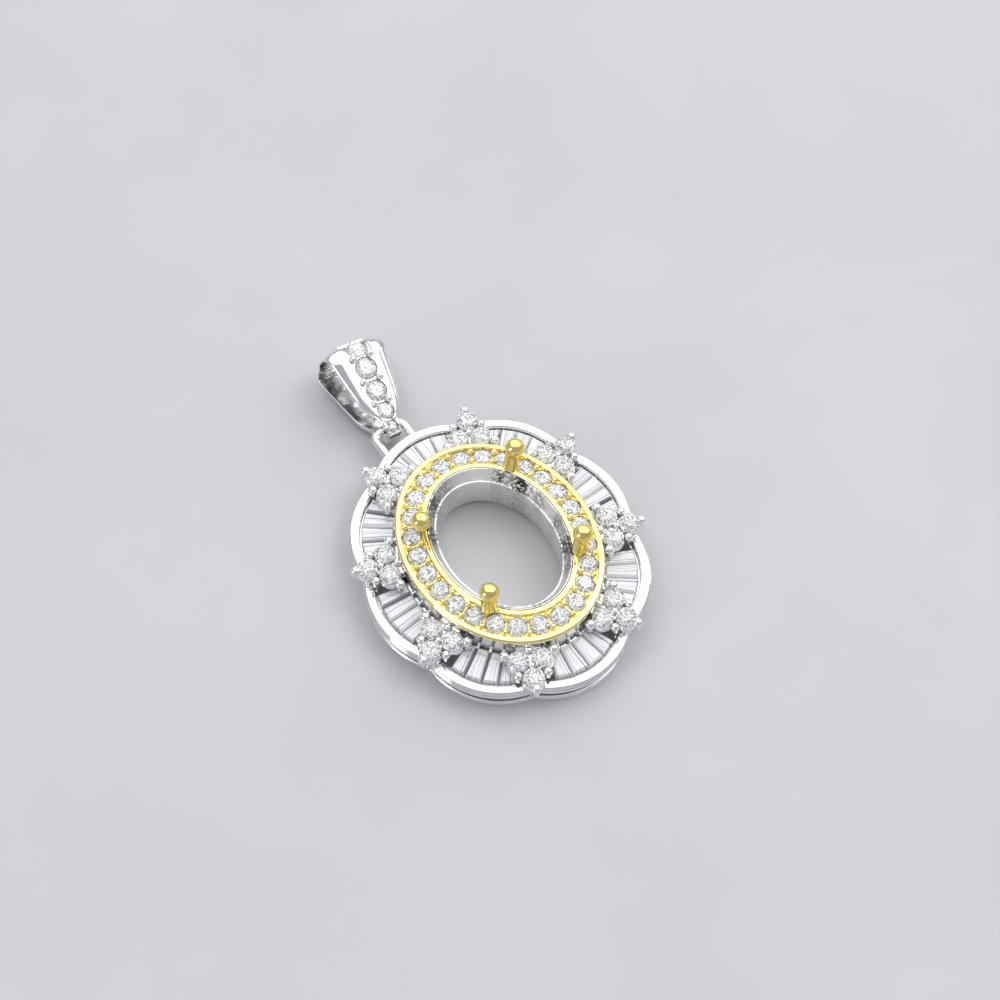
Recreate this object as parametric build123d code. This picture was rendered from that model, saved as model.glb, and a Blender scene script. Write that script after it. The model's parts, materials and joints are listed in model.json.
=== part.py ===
"""Oval pendant mount in millimetres: a flower border, a halo with four prongs, and a hinged bail.

X runs across the pendant, Y up towards the bail and Z out of the front. The origin is on the flat
back, at the centre of the oval opening.
"""
from build123d import *
from math import acos, atan2, cos, degrees, hypot, pi, radians, sin
import os

# Oval opening and its collet
BORE_WIDTH = 7.30
BORE_LENGTH = 9.66
LENGTHWISE_GROWTH = 1.06
COLLET_WALL = 0.55
COLLET_LIP = 0.09
COLLET_LIP_HEIGHT = 2.70
BORE_HEIGHT = 3.42
PIECE_GAP = 0.03

# Halo: two rims with a channel of round stones between them
INNER_RIM = 0.30
CHANNEL = 1.08
OUTER_RIM = 0.38
HALO_EDGE_HEIGHT = 3.00
HALO_FLANGE = 0.28
HALO_FOOT = 0.22
CHANNEL_DEPTH = 0.17
HALO_STONE = 1.11
HALO_STONES = 26
HALO_BEAD = 0.34
HALO_BEAD_STEM = 0.22

# Prongs: each rises after one of the halo's stones, and its ball stands where the shaft leans
PRONG_AFTER_STONE = (3, 9, 16, 22)
PRONG_TIPS = ((3.57, 3.51), (3.46, -3.08), (-2.82, -3.01), (-3.35, 2.73))
PRONG_FOOT_STEP = 0.30
PRONG_SHAFT = 0.90
PRONG_BALL = 1.13
PRONG_BALL_HEIGHT = 4.80

# Flower border
FLOWER_WIDTH = 16.10
FLOWER_LENGTH = 18.50
NOTCH_DEPTH = 0.50
NOTCH_ANGLES = (25.5, 68.8)
RIM_WIDTH = 0.60
RIM_TOP = 1.65
RIM_BOTTOM = 1.10
RIDGE_PROUD = 0.07
RIDGE_TOP = 1.42
RAIL_WIDTH = 0.46
RAIL_HEIGHT = 0.46
LEDGE_WIDTH = 0.13
LEDGE_HEIGHT = 0.16
GALLERY_WALL = 0.32
GALLERY_STEP_IN = 0.05
BACK_PLATE = 0.40
COLLET_SHELF = 0.16
AZURE_HOLE = 0.62
POST = 0.70
SPOKE_WIDTH = 0.55
SPOKE_LENGTH = 2.42

# Trefoil seats at the notches
TREFOIL_SETBACK = 1.01
TREFOIL_RADIUS = 0.757
TREFOIL_STONE = 1.20
TREFOIL_SEAT = 1.34
TREFOIL_GIRDLE = 2.42
TREFOIL_TOP = 2.30
TREFOIL_BOTTOM = 1.74
TREFOIL_HUB = 0.85
BRIDGE_BEHIND = 0.71
CLAW_BEAD = 0.56
OUTER_CLAW_REACH = 1.44
SIDE_CLAW_REACH = 1.58
CLAW_STEM = 0.40
NOTCH_BEAD = 0.50
NOTCH_BEAD_REACH = 0.95
CENTRE_BEAD = 0.34
DRILL_SHARE = 0.38

# Tapered baguettes
BAGUETTES = 4
BAGUETTE_PITCH = 0.74
BAGUETTE_GAP = 0.10
BAGUETTE_END_GAP = 0.07
BAGUETTE_TABLE_HEIGHT = 1.66
BAGUETTE_CROWN = 0.20
BAGUETTE_GIRDLE = 0.06
BAGUETTE_PAVILION = 0.40
BAGUETTE_TABLE_INSET = 0.15
BAGUETTE_KEEL_INSET = 0.24

# Wire loop that carries the bail
LOOP_CENTRE = -0.51
LOOP_INNER_WIDTH = 1.48
LOOP_WIRE = 0.50
LOOP_BAR_ALONG = 10.60
LOOP_HEIGHT = 1.15
LOOP_CORNER = 0.50

# Bail: a tapered band round three circles, seen from the side
BAIL_CENTRE = -0.40
BAIL_YAW = -4.6
BAIL_ROLL = 9.5
BAIL_BAND = 0.45
BAIL_FOOT_RADIUS = 0.85
BAIL_FRONT_RADIUS = 1.20
BAIL_FRONT_ALONG = 4.05
BAIL_FRONT_HEIGHT = 1.35
BAIL_BACK_RADIUS = 1.10
BAIL_BACK_ALONG = 4.60
BAIL_BACK_HEIGHT = 0.25
BAIL_WIDTHS = (
    (-1.30, 0.70), (-0.60, 0.78), (-0.10, 0.80), (0.15, 0.88), (0.50, 1.60), (1.00, 2.30), (1.70, 2.75),
    (3.10, 3.30), (4.60, 3.75), (5.40, 3.75), (5.90, 3.20),
)
FLANK_DROP = 0.24
FLANK_BAND = 0.22
PANEL_WIDTHS = (
    (-1.30, 0.30), (-0.45, 0.60), (0.10, 0.64), (0.60, 1.15), (1.20, 1.45), (2.00, 1.54), (5.90, 1.60),
)
PANEL_RIM = 0.12
PANEL_DEPTH = 0.08
BAIL_STONE_SIZES = (0.55, 0.90, 1.15, 1.20, 1.13)
BAIL_STONE_GAP = 0.25
BAIL_FIRST_STONE = -0.355
BAIL_BEAD = 0.28
BAIL_BEAD_SPREAD = 0.72

# Cut of a round stone, as shares of its diameter
TABLE_SHARE = 0.56
CROWN_SHARE = 0.16
GIRDLE_SHARE = 0.03
PAVILION_SHARE = 0.42
CULET_SHARE = 0.05
STONE_SIDES = 12
SEAT_GAP = 0.03

QUADRANTS = ((1, 1), (1, -1), (-1, -1), (-1, 1))
HALO_WIDTH = INNER_RIM + CHANNEL + OUTER_RIM
HALO_TILT = degrees(atan2(BORE_HEIGHT - HALO_EDGE_HEIGHT, HALO_WIDTH))
HALO_FLANGE_HEIGHT = HALO_EDGE_HEIGHT - HALO_FLANGE
HALO_BASE_HEIGHT = HALO_FLANGE_HEIGHT - HALO_FOOT
STONE_LINE = INNER_RIM + CHANNEL / 2
GALLERY_OUT = HALO_WIDTH - GALLERY_STEP_IN
GALLERY_IN = GALLERY_OUT - GALLERY_WALL
LEDGE_TOP = BAGUETTE_TABLE_HEIGHT - BAGUETTE_CROWN - BAGUETTE_GIRDLE - LEDGE_WIDTH


def oval(step, height=0.0):
    """Oval face at a distance outside the bore's edge."""
    face = Ellipse(BORE_WIDTH / 2 + step, BORE_LENGTH / 2 + LENGTHWISE_GROWTH * step)
    return Pos(0, 0, height) * face


def oval_block(step, bottom, top):
    """Solid oval from one height to another."""
    return extrude(oval(step, bottom), top - bottom)


def oval_ring(outer, inner, bottom, top):
    """Oval wall between two steps."""
    return oval_block(outer, bottom, top) - oval_block(inner, bottom - 1, top + 1)


def halo_height(step):
    """Height of the halo's sloping top at a step out from the bore."""
    return BORE_HEIGHT - (BORE_HEIGHT - HALO_EDGE_HEIGHT) * step / HALO_WIDTH


def oval_path(step, count=1440):
    """Points of an oval from the +Y end, clockwise, with the length run up to each."""
    half_width = BORE_WIDTH / 2 + step
    half_length = BORE_LENGTH / 2 + LENGTHWISE_GROWTH * step
    angles = [2 * pi * i / count for i in range(count + 1)]
    points = [(half_width * sin(a), half_length * cos(a)) for a in angles]
    lengths = [0.0]
    for (x0, y0), (x1, y1) in zip(points, points[1:]):
        lengths.append(lengths[-1] + hypot(x1 - x0, y1 - y0))
    return points, lengths


def at_length(path, length):
    """Point and outward direction of an oval path at a length along it."""
    points, lengths = path
    length = length % lengths[-1]
    index = next(i for i in range(1, len(lengths)) if lengths[i] >= length)
    share = (length - lengths[index - 1]) / (lengths[index] - lengths[index - 1])
    (x0, y0), (x1, y1) = points[index - 1], points[index]
    run = hypot(x1 - x0, y1 - y0)
    outward = Vector(-(y1 - y0) / run, (x1 - x0) / run)
    return Vector(x0 + (x1 - x0) * share, y0 + (y1 - y0) * share), outward


def turned(angle):
    """Unit direction at an angle from +Y towards +X, in degrees."""
    return Vector(sin(radians(angle)), cos(radians(angle)))


def faceted(rings):
    """Closed solid with flat facets through a stack of outlines with equal corners."""
    faces = [Face(Wire.make_polygon(rings[0])), Face(Wire.make_polygon(rings[-1]))]
    for lower, upper in zip(rings, rings[1:]):
        corners = len(lower)
        for i in range(corners):
            j = (i + 1) % corners
            faces.append(Face(Wire.make_polygon([lower[i], lower[j], upper[j], upper[i]])))
    return Solid(Shell(faces))


def ring_points(radius, height):
    """Corners of a regular outline round Z."""
    angles = [2 * pi * i / STONE_SIDES for i in range(STONE_SIDES)]
    return [Vector(radius * cos(a), radius * sin(a), height) for a in angles]


def round_stone(diameter):
    """Round cut stone with its girdle's lower edge at the origin."""
    radius = diameter / 2
    girdle = GIRDLE_SHARE * diameter
    crown = girdle + CROWN_SHARE * diameter
    return faceted([
        ring_points(radius * CULET_SHARE, -PAVILION_SHARE * diameter),
        ring_points(radius, 0),
        ring_points(radius, girdle),
        ring_points(radius * TABLE_SHARE, crown),
    ])


def stone_room(diameter):
    """Space of a round stone with a seat gap and the drilled hole below its point."""
    radius = diameter / 2 + SEAT_GAP
    crown = (GIRDLE_SHARE + CROWN_SHARE) * diameter + SEAT_GAP
    girdle = GIRDLE_SHARE * diameter + SEAT_GAP
    drill = diameter * DRILL_SHARE / 2
    drill_height = -PAVILION_SHARE * diameter * (1 - DRILL_SHARE) - SEAT_GAP
    outline = Polyline(
        (0, -diameter), (drill, -diameter), (drill, drill_height), (radius, -SEAT_GAP / 2),
        (radius, girdle), (radius * TABLE_SHARE, crown), (0, crown), close=True,
    )
    return revolve(Plane.XZ * make_face(outline), Axis.Z)


def ball(diameter, x, y, z):
    """Ball at a place."""
    return Pos(x, y, z) * Sphere(diameter / 2)


def pin(diameter, x, y, bottom, top):
    """Upright round pin from one height to another."""
    return Pos(x, y, (bottom + top) / 2) * Cylinder(diameter / 2, top - bottom)


def petal_angles():
    """Notch angles round the border, clockwise from +Y."""
    first, second = NOTCH_ANGLES
    return (first, second, 180 - second, 180 - first, 180 + first, 180 + second, 360 - second, 360 - first)


def border_point(angle, inset, depth=0.0):
    """Point of the border at an oval angle, moved in by an inset and a notch depth."""
    half_width = FLOWER_WIDTH / 2 - inset - depth
    half_length = FLOWER_LENGTH / 2 - inset - depth
    return Vector(half_width * sin(radians(angle)), half_length * cos(radians(angle)))


def petal_arcs(inset):
    """Eight arcs of the scalloped border, each as start, middle and end."""
    notches = petal_angles()
    arcs = []
    for start, end in zip(notches, notches[1:] + (notches[0] + 360,)):
        arcs.append((
            border_point(start, inset, NOTCH_DEPTH),
            border_point((start + end) / 2, inset),
            border_point(end, inset, NOTCH_DEPTH),
        ))
    return arcs


def flower_band(outer, inner, bottom, top):
    """Scalloped wall between two insets."""
    outside = make_face([ThreePointArc(*arc) for arc in petal_arcs(outer)])
    inside = make_face([ThreePointArc(*arc) for arc in petal_arcs(inner)])
    return extrude(Pos(0, 0, bottom) * (outside - inside), top - bottom)


def trefoils():
    """Centre and facing angle of each trefoil seat, clockwise from +Y."""
    return [(border_point(angle, 0, NOTCH_DEPTH) - turned(angle) * TREFOIL_SETBACK, angle)
            for angle in petal_angles()]


def trefoil_stone_places():
    """Centre of each trefoil stone."""
    places = []
    for centre, facing in trefoils():
        for turn in (0, 120, 240):
            places.append(centre + turned(facing + turn) * TREFOIL_RADIUS)
    return places


def trefoil_seat(centre, facing):
    """Seat with three lobes, its claws and beads, its bridge to the gallery and its post."""
    metal = [
        pin(TREFOIL_HUB, centre.X, centre.Y, TREFOIL_BOTTOM, TREFOIL_TOP),
        ball(CENTRE_BEAD, centre.X, centre.Y, TREFOIL_GIRDLE),
    ]
    for turn in (0, 120, 240):
        lobe = centre + turned(facing + turn) * TREFOIL_RADIUS
        claw = centre + turned(facing + turn) * (SIDE_CLAW_REACH if turn else OUTER_CLAW_REACH)
        between = centre + turned(facing + turn + 60) * NOTCH_BEAD_REACH
        metal += [
            pin(TREFOIL_SEAT, lobe.X, lobe.Y, TREFOIL_BOTTOM, TREFOIL_TOP),
            pin(CLAW_STEM, claw.X, claw.Y, TREFOIL_BOTTOM, TREFOIL_GIRDLE),
            ball(CLAW_BEAD, claw.X, claw.Y, TREFOIL_GIRDLE),
            pin(NOTCH_BEAD, between.X, between.Y, TREFOIL_BOTTOM, TREFOIL_TOP),
            ball(NOTCH_BEAD, between.X, between.Y, TREFOIL_TOP),
        ]
    post = centre + turned(facing) * (TREFOIL_SETBACK - POST / 2)
    metal.append(pin(POST, post.X, post.Y, 0, TREFOIL_TOP - TREFOIL_STONE * PAVILION_SHARE))
    middle = post - turned(facing) * SPOKE_LENGTH / 2
    spoke = Location((middle.X, middle.Y, BACK_PLATE / 2), (0, 0, -facing))
    metal.append(spoke * Box(SPOKE_WIDTH, SPOKE_LENGTH, BACK_PLATE))
    behind = centre - turned(facing) * BRIDGE_BEHIND
    bridge = Location((behind.X, behind.Y, (TREFOIL_BOTTOM + TREFOIL_TOP) / 2), (0, 0, -facing))
    metal.append(bridge * Box(TREFOIL_SEAT, TREFOIL_SETBACK, TREFOIL_TOP - TREFOIL_BOTTOM))
    return metal


def halo_stone_lengths():
    """Lengths along the halo's stone line where its stones stand, from the +Y end."""
    total = oval_path(STONE_LINE)[1][-1]
    return [total * index / HALO_STONES for index in range(HALO_STONES)]


def halo_plane(length, lift=0.0, aside=0.0):
    """Plane on the halo's slope at a length along the stone line, lifted and moved outwards."""
    point, outward = at_length(oval_path(STONE_LINE), length)
    normal = Vector(outward.X * sin(radians(HALO_TILT)), outward.Y * sin(radians(HALO_TILT)),
                    cos(radians(HALO_TILT)))
    place = point + outward * aside
    height = halo_height(STONE_LINE + aside) + lift
    along = Vector(-outward.Y, outward.X, 0)
    return Plane(Vector(place.X, place.Y, height), x_dir=along, z_dir=normal)


def halo_stone_planes():
    """Seat plane of each halo stone: its table stands level with the rims."""
    sink = (GIRDLE_SHARE + CROWN_SHARE) * HALO_STONE
    return [halo_plane(length, -sink) for length in halo_stone_lengths()]


def prong_lines():
    """Foot and ball centre of each prong."""
    path = oval_path(STONE_LINE)
    pitch = path[1][-1] / HALO_STONES
    lines = []
    for stone, (x, y) in zip(PRONG_AFTER_STONE, PRONG_TIPS):
        point, outward = at_length(path, (stone + 0.5) * pitch)
        foot = point + outward * (PRONG_FOOT_STEP - STONE_LINE)
        lines.append((Vector(foot.X, foot.Y, HALO_EDGE_HEIGHT), Vector(x, y, PRONG_BALL_HEIGHT)))
    return lines


def prong_shaft(foot, tip, spare=0.0):
    """Prong shaft: upright to its foot, then leaning to its tip, with room to spare round it."""
    diameter = PRONG_SHAFT + 2 * spare
    along = tip - foot
    reach = along.length + diameter / 4
    lean = Plane(tip, z_dir=along) * Pos(0, 0, -reach / 2) * Cylinder(diameter / 2, reach)
    return pin(diameter, foot.X, foot.Y, HALO_BASE_HEIGHT - spare, foot.Z) + lean


def make_frame():
    """White frame: border, rail, gallery, trefoil seats and bail loop in one solid."""
    border = flower_band(0, RIM_WIDTH, RIM_BOTTOM, RIM_TOP)
    parts = [
        flower_band(-RIDGE_PROUD, RIM_WIDTH, RIM_BOTTOM, RIDGE_TOP),
        flower_band(RIM_WIDTH - LEDGE_WIDTH, RIM_WIDTH + LEDGE_WIDTH, LEDGE_TOP - LEDGE_HEIGHT, LEDGE_TOP),
        flower_band(0, RAIL_WIDTH, 0, RAIL_HEIGHT),
        oval_ring(GALLERY_OUT, GALLERY_IN, 0, HALO_FLANGE_HEIGHT),
        oval_ring(HALO_WIDTH + LEDGE_WIDTH, GALLERY_IN, LEDGE_TOP - LEDGE_HEIGHT, LEDGE_TOP),
        oval_ring(GALLERY_OUT, COLLET_SHELF - COLLET_WALL, 0, BACK_PLATE),
        make_loop(),
    ]
    for centre, facing in trefoils():
        parts += trefoil_seat(centre, facing)
    room = stone_room(TREFOIL_STONE)
    cuts = [Pos(p.X, p.Y, TREFOIL_GIRDLE) * room for p in trefoil_stone_places()]
    path = oval_path(STONE_LINE)
    for length in halo_stone_lengths():
        hole, _ = at_length(path, length)
        cuts.append(pin(AZURE_HOLE, hole.X, hole.Y, -1, BACK_PLATE + 1))
    return border + parts - cuts


def make_loop():
    """Wire loop soldered to the top petal: two arms and a straight bar."""
    half = (LOOP_INNER_WIDTH + LOOP_WIRE) / 2
    root = FLOWER_LENGTH / 2 - RIM_WIDTH / 2
    left, right = LOOP_CENTRE - half, LOOP_CENTRE + half
    path = FilletPolyline(
        (left, root, LOOP_HEIGHT), (left, LOOP_BAR_ALONG, LOOP_HEIGHT),
        (right, LOOP_BAR_ALONG, LOOP_HEIGHT), (right, root, LOOP_HEIGHT), radius=LOOP_CORNER,
    )
    section = Plane(origin=path @ 0, z_dir=path % 0) * Circle(LOOP_WIRE / 2)
    return sweep(section, path)


def make_collet():
    """Oval collet: a wall whose top slopes in to a narrow lip under the centre stone."""
    outside = -PIECE_GAP
    inside = -COLLET_WALL
    wall = oval_ring(outside, inside, BACK_PLATE + PIECE_GAP, BORE_HEIGHT - PIECE_GAP)
    slope = loft([oval(inside + COLLET_LIP, COLLET_LIP_HEIGHT), oval(outside - COLLET_LIP / 2, BORE_HEIGHT)])
    return wall - slope - [prong_shaft(foot, tip, PIECE_GAP) for foot, tip in prong_lines()]


def make_halo():
    """Yellow halo: a sloping ring with a channel, beads between the stones, and four prongs."""
    body = oval_block(GALLERY_IN - PIECE_GAP, HALO_BASE_HEIGHT, HALO_FLANGE_HEIGHT)
    body += oval_block(HALO_WIDTH, HALO_FLANGE_HEIGHT, HALO_EDGE_HEIGHT)
    body += loft([oval(HALO_WIDTH, HALO_EDGE_HEIGHT), oval(0, BORE_HEIGHT)])
    body -= oval_block(0, HALO_BASE_HEIGHT - 1, BORE_HEIGHT + 1)
    floor = loft([oval(HALO_WIDTH, HALO_EDGE_HEIGHT - CHANNEL_DEPTH), oval(0, BORE_HEIGHT - CHANNEL_DEPTH)])
    channel = oval_ring(INNER_RIM + CHANNEL, INNER_RIM, HALO_EDGE_HEIGHT - CHANNEL_DEPTH, BORE_HEIGHT + 1)
    body -= channel - floor
    metal = []
    half_pitch = oval_path(STONE_LINE)[1][-1] / HALO_STONES / 2
    reach = (CHANNEL - HALO_BEAD) / 2
    for stone, length in enumerate(halo_stone_lengths()):
        for aside in (reach,) if stone in PRONG_AFTER_STONE else (-reach, reach):
            plane = halo_plane(length + half_pitch, 0, aside)
            metal.append(plane * Pos(0, 0, -HALO_BEAD / 4) * Sphere(HALO_BEAD / 2))
            metal.append(plane * Pos(0, 0, -CHANNEL_DEPTH) * Cylinder(HALO_BEAD_STEM / 2, 2 * CHANNEL_DEPTH))
    for foot, tip in prong_lines():
        metal += [prong_shaft(foot, tip), ball(PRONG_BALL, tip.X, tip.Y, tip.Z)]
    room = stone_room(HALO_STONE)
    return body + metal - [plane * room for plane in halo_stone_planes()]


def inset_outline(points, distance):
    """Four-cornered outline moved in by the same distance on every side."""
    lines = []
    for start, end in zip(points, points[1:] + points[:1]):
        along = (end - start).normalized()
        inward = Vector(-along.Y, along.X)
        lines.append((start + inward * distance, along))
    moved = []
    for (p, d), (q, e) in zip(lines[-1:] + lines[:-1], lines):
        cross = d.X * e.Y - d.Y * e.X
        share = ((q.X - p.X) * e.Y - (q.Y - p.Y) * e.X) / cross
        moved.append(p + d * share)
    return moved


def lifted(points, height):
    """The same outline at a height."""
    return [Vector(p.X, p.Y, height) for p in points]


def baguette(outline):
    """Step-cut baguette over a four-cornered outline."""
    top = BAGUETTE_TABLE_HEIGHT
    girdle_top = top - BAGUETTE_CROWN
    girdle = girdle_top - BAGUETTE_GIRDLE
    return faceted([
        lifted(inset_outline(outline, BAGUETTE_KEEL_INSET), girdle - BAGUETTE_PAVILION),
        lifted(outline, girdle),
        lifted(outline, girdle_top),
        lifted(inset_outline(outline, BAGUETTE_TABLE_INSET), top),
    ])


def arc_hit(start, direction, arc):
    """Where a ray from inside meets the circle through an arc's three points."""
    (a, b, c) = arc
    turn = 2 * (a.X * (b.Y - c.Y) + b.X * (c.Y - a.Y) + c.X * (a.Y - b.Y))
    aa, bb, cc = a.X**2 + a.Y**2, b.X**2 + b.Y**2, c.X**2 + c.Y**2
    centre = Vector((aa * (b.Y - c.Y) + bb * (c.Y - a.Y) + cc * (a.Y - b.Y)) / turn,
                    (aa * (c.X - b.X) + bb * (a.X - c.X) + cc * (b.X - a.X)) / turn)
    radius = (a - centre).length
    offset = start - centre
    half = offset.dot(direction)
    return start + direction * (-half + (half**2 - offset.dot(offset) + radius**2) ** 0.5)


def baguette_row(arc):
    """Tapered baguettes side by side, from the gallery wall out to one petal's rim."""
    wall = HALO_WIDTH + BAGUETTE_END_GAP
    path = oval_path(wall)
    middle = arc[1]
    start = min(range(len(path[0])), key=lambda i: hypot(path[0][i][0] - middle.X, path[0][i][1] - middle.Y))
    centre = path[1][start]
    stones = []
    for index in range(BAGUETTES):
        corners = []
        for side in (index, index + 1):
            length = centre + (side - BAGUETTES / 2) * BAGUETTE_PITCH
            foot, outward = at_length(path, length)
            tip = arc_hit(foot, outward, arc) - outward * BAGUETTE_END_GAP
            corners.append((foot, tip))
        (foot_a, tip_a), (foot_b, tip_b) = corners
        stones.append(baguette(inset_outline([foot_a, foot_b, tip_b, tip_a], BAGUETTE_GAP / 2)))
    return Compound(stones)


def belt(shrink):
    """Bail's side outline: the belt round its three circles, drawn in by a distance."""
    circles = [
        Circle(BAIL_FOOT_RADIUS - shrink),
        Pos(BAIL_FRONT_ALONG, BAIL_FRONT_HEIGHT) * Circle(BAIL_FRONT_RADIUS - shrink),
        Pos(BAIL_BACK_ALONG, BAIL_BACK_HEIGHT) * Circle(BAIL_BACK_RADIUS - shrink),
    ]
    return make_hull([edge for circle in circles for edge in circle.edges()])


def bail_reach():
    """Distance of the bail's far end from the bar."""
    return max(BAIL_FRONT_ALONG + BAIL_FRONT_RADIUS, BAIL_BACK_ALONG + BAIL_BACK_RADIUS)


def strip_plan(widths, rim=0.0):
    """Tall block over a strip given by its widths at distances from the bar, with a rim outside."""
    right = [(width / 2 + rim, along) for along, width in widths]
    left = [(-x, y) for x, y in reversed(right)]
    outline = make_face([
        Spline(right), Line(right[-1], left[0]), Spline(left), Line(left[-1], right[0]),
    ])
    return extrude(outline, bail_reach(), both=True)


def belt_solid(shrink):
    """Belt outline as a block across the bail."""
    return extrude(Plane.YZ * belt(shrink), bail_reach(), both=True)


def bail_slope():
    """Angle of the outward normal of the bail's straight front, and the front's length."""
    spacing = hypot(BAIL_FRONT_ALONG, BAIL_FRONT_HEIGHT)
    base = atan2(BAIL_FRONT_HEIGHT, BAIL_FRONT_ALONG)
    normal = base + acos((BAIL_FOOT_RADIUS - BAIL_FRONT_RADIUS) / spacing)
    straight = (spacing**2 - (BAIL_FRONT_RADIUS - BAIL_FOOT_RADIUS) ** 2) ** 0.5
    return normal, straight


def bail_plane(length, lift):
    """Plane on the bail's front at a length along it, negative where it rounds the foot."""
    normal, straight = bail_slope()
    if length < 0:
        turn = normal - length / BAIL_FOOT_RADIUS
        along, up = BAIL_FOOT_RADIUS * cos(turn), BAIL_FOOT_RADIUS * sin(turn)
    elif length <= straight:
        turn = normal
        along = BAIL_FOOT_RADIUS * cos(turn) + length * sin(turn)
        up = BAIL_FOOT_RADIUS * sin(turn) - length * cos(turn)
    else:
        turn = normal - (length - straight) / BAIL_FRONT_RADIUS
        along = BAIL_FRONT_ALONG + BAIL_FRONT_RADIUS * cos(turn)
        up = BAIL_FRONT_HEIGHT + BAIL_FRONT_RADIUS * sin(turn)
    outward = Vector(0, cos(turn), sin(turn))
    return Plane(Vector(0, along, up) + outward * lift, x_dir=(1, 0, 0), z_dir=outward)


def bail_stone_places():
    """Diameter and seat plane of each bail stone, from the foot up."""
    places = []
    length = BAIL_FIRST_STONE
    for size in BAIL_STONE_SIZES:
        length += size / 2
        lift = -PANEL_DEPTH - (GIRDLE_SHARE + CROWN_SHARE) * size / 2
        places.append((size, bail_plane(length, lift), length))
        length += size / 2 + BAIL_STONE_GAP
    return places


def bail_location():
    """Where the bail lies at rest, turned about the bar's middle."""
    return Location((BAIL_CENTRE, LOOP_BAR_ALONG, LOOP_HEIGHT), (0, 0, BAIL_YAW)) * Location(
        (0, 0, 0), (0, BAIL_ROLL, 0))


def panel_room():
    """Space over the front from the first stone's edge to the last one's."""
    places = bail_stone_places()
    start = bail_plane(BAIL_FIRST_STONE, 0).origin
    end = bail_plane(places[-1][2] + places[-1][0] / 2, 0).origin
    reach = (end - start).length
    tilt = degrees(atan2(end.Z - start.Z, end.Y - start.Y))
    return Location(start, (tilt, 0, 0)) * Pos(0, reach / 2, reach / 2) * Box(reach, reach, reach)


def make_bail():
    """Band with dropped flanks and a recessed front panel with stone seats and bead pairs."""
    flanks = (belt_solid(FLANK_DROP) - belt_solid(FLANK_DROP + FLANK_BAND)) & strip_plan(BAIL_WIDTHS)
    crown = (belt_solid(0) - belt_solid(BAIL_BAND)) & strip_plan(PANEL_WIDTHS, PANEL_RIM)
    panel = (belt_solid(-BAIL_BAND) - belt_solid(PANEL_DEPTH)) & strip_plan(PANEL_WIDTHS)
    body = flanks + crown - (panel & panel_room())
    beads = []
    places = bail_stone_places()
    for (size, _, length), (next_size, _, next_length) in zip(places, places[1:]):
        middle = (length + size / 2 + next_length - next_size / 2) / 2
        spread = min(size, next_size) / 2 * BAIL_BEAD_SPREAD
        for side in (-1, 1):
            plane = bail_plane(middle, -PANEL_DEPTH)
            beads.append(plane * Pos(side * spread, 0, 0) * Sphere(BAIL_BEAD / 2))
    rooms = [plane * stone_room(size) for size, plane, _ in places]
    return bail_location() * (body + beads - rooms)


def all_nodes():
    """Every node by name."""
    nodes = {
        "frame": make_frame(),
        "collet": make_collet(),
        "halo": make_halo(),
        "halo_stones": Compound([plane * round_stone(HALO_STONE) for plane in halo_stone_planes()]),
        "bail": make_bail(),
    }
    stone = round_stone(TREFOIL_STONE)
    for number, place in enumerate(trefoil_stone_places(), 1):
        nodes[f"trefoil_stone_{number:02d}"] = Pos(place.X, place.Y, TREFOIL_GIRDLE) * stone
    for number, arc in enumerate(petal_arcs(RIM_WIDTH), 1):
        nodes[f"baguette_row_{number}"] = baguette_row(arc)
    for number, (size, plane, _) in enumerate(bail_stone_places(), 1):
        nodes[f"bail_stone_{number}"] = bail_location() * (plane * round_stone(size))
    return nodes


def main():
    """Write one file for each node."""
    os.makedirs("parts", exist_ok=True)
    for name, shape in all_nodes().items():
        export_step(shape, f"parts/{name}.step")


main()
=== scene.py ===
"""Looks of the oval pendant mount: its metal, its stones, the floor it lies on and its light.

Sizes in the classes are millimetres, in the part's own frame. They become metres where a mesh is made.
"""

import json
import logging
from dataclasses import dataclass, field
from enum import Enum
from math import acos, atan2, cos, exp, hypot, pi, radians, sin
from typing import Callable, Iterable, Sequence

import bmesh
import bpy
from mathutils import Matrix, Vector

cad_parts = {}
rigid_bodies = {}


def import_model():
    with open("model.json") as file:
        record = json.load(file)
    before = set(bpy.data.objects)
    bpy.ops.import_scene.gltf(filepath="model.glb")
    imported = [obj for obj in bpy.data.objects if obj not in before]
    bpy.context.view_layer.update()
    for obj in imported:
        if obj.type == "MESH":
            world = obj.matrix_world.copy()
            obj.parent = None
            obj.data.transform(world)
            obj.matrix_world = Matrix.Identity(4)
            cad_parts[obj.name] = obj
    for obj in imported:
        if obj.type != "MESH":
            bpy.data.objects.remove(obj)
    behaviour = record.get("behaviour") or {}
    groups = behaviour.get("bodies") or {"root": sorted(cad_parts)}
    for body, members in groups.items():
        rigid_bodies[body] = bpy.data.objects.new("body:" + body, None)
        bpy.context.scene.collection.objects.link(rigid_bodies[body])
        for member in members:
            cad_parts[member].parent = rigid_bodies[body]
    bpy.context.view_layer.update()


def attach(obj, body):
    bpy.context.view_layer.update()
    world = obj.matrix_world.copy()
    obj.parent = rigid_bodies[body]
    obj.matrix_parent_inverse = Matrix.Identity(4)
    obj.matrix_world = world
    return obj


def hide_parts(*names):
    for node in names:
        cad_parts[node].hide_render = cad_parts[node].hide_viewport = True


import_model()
LOG = logging.getLogger("pendant")
# A millimetre in metres, the stem of a bead as a share of its size, the angle in degrees over which
# an edge stays sharp, and the facets round a wire.
METRES = 0.001
STEM_RADIUS = 0.36
SHARP = 32.0
WIRE_SIDES = 20
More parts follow.
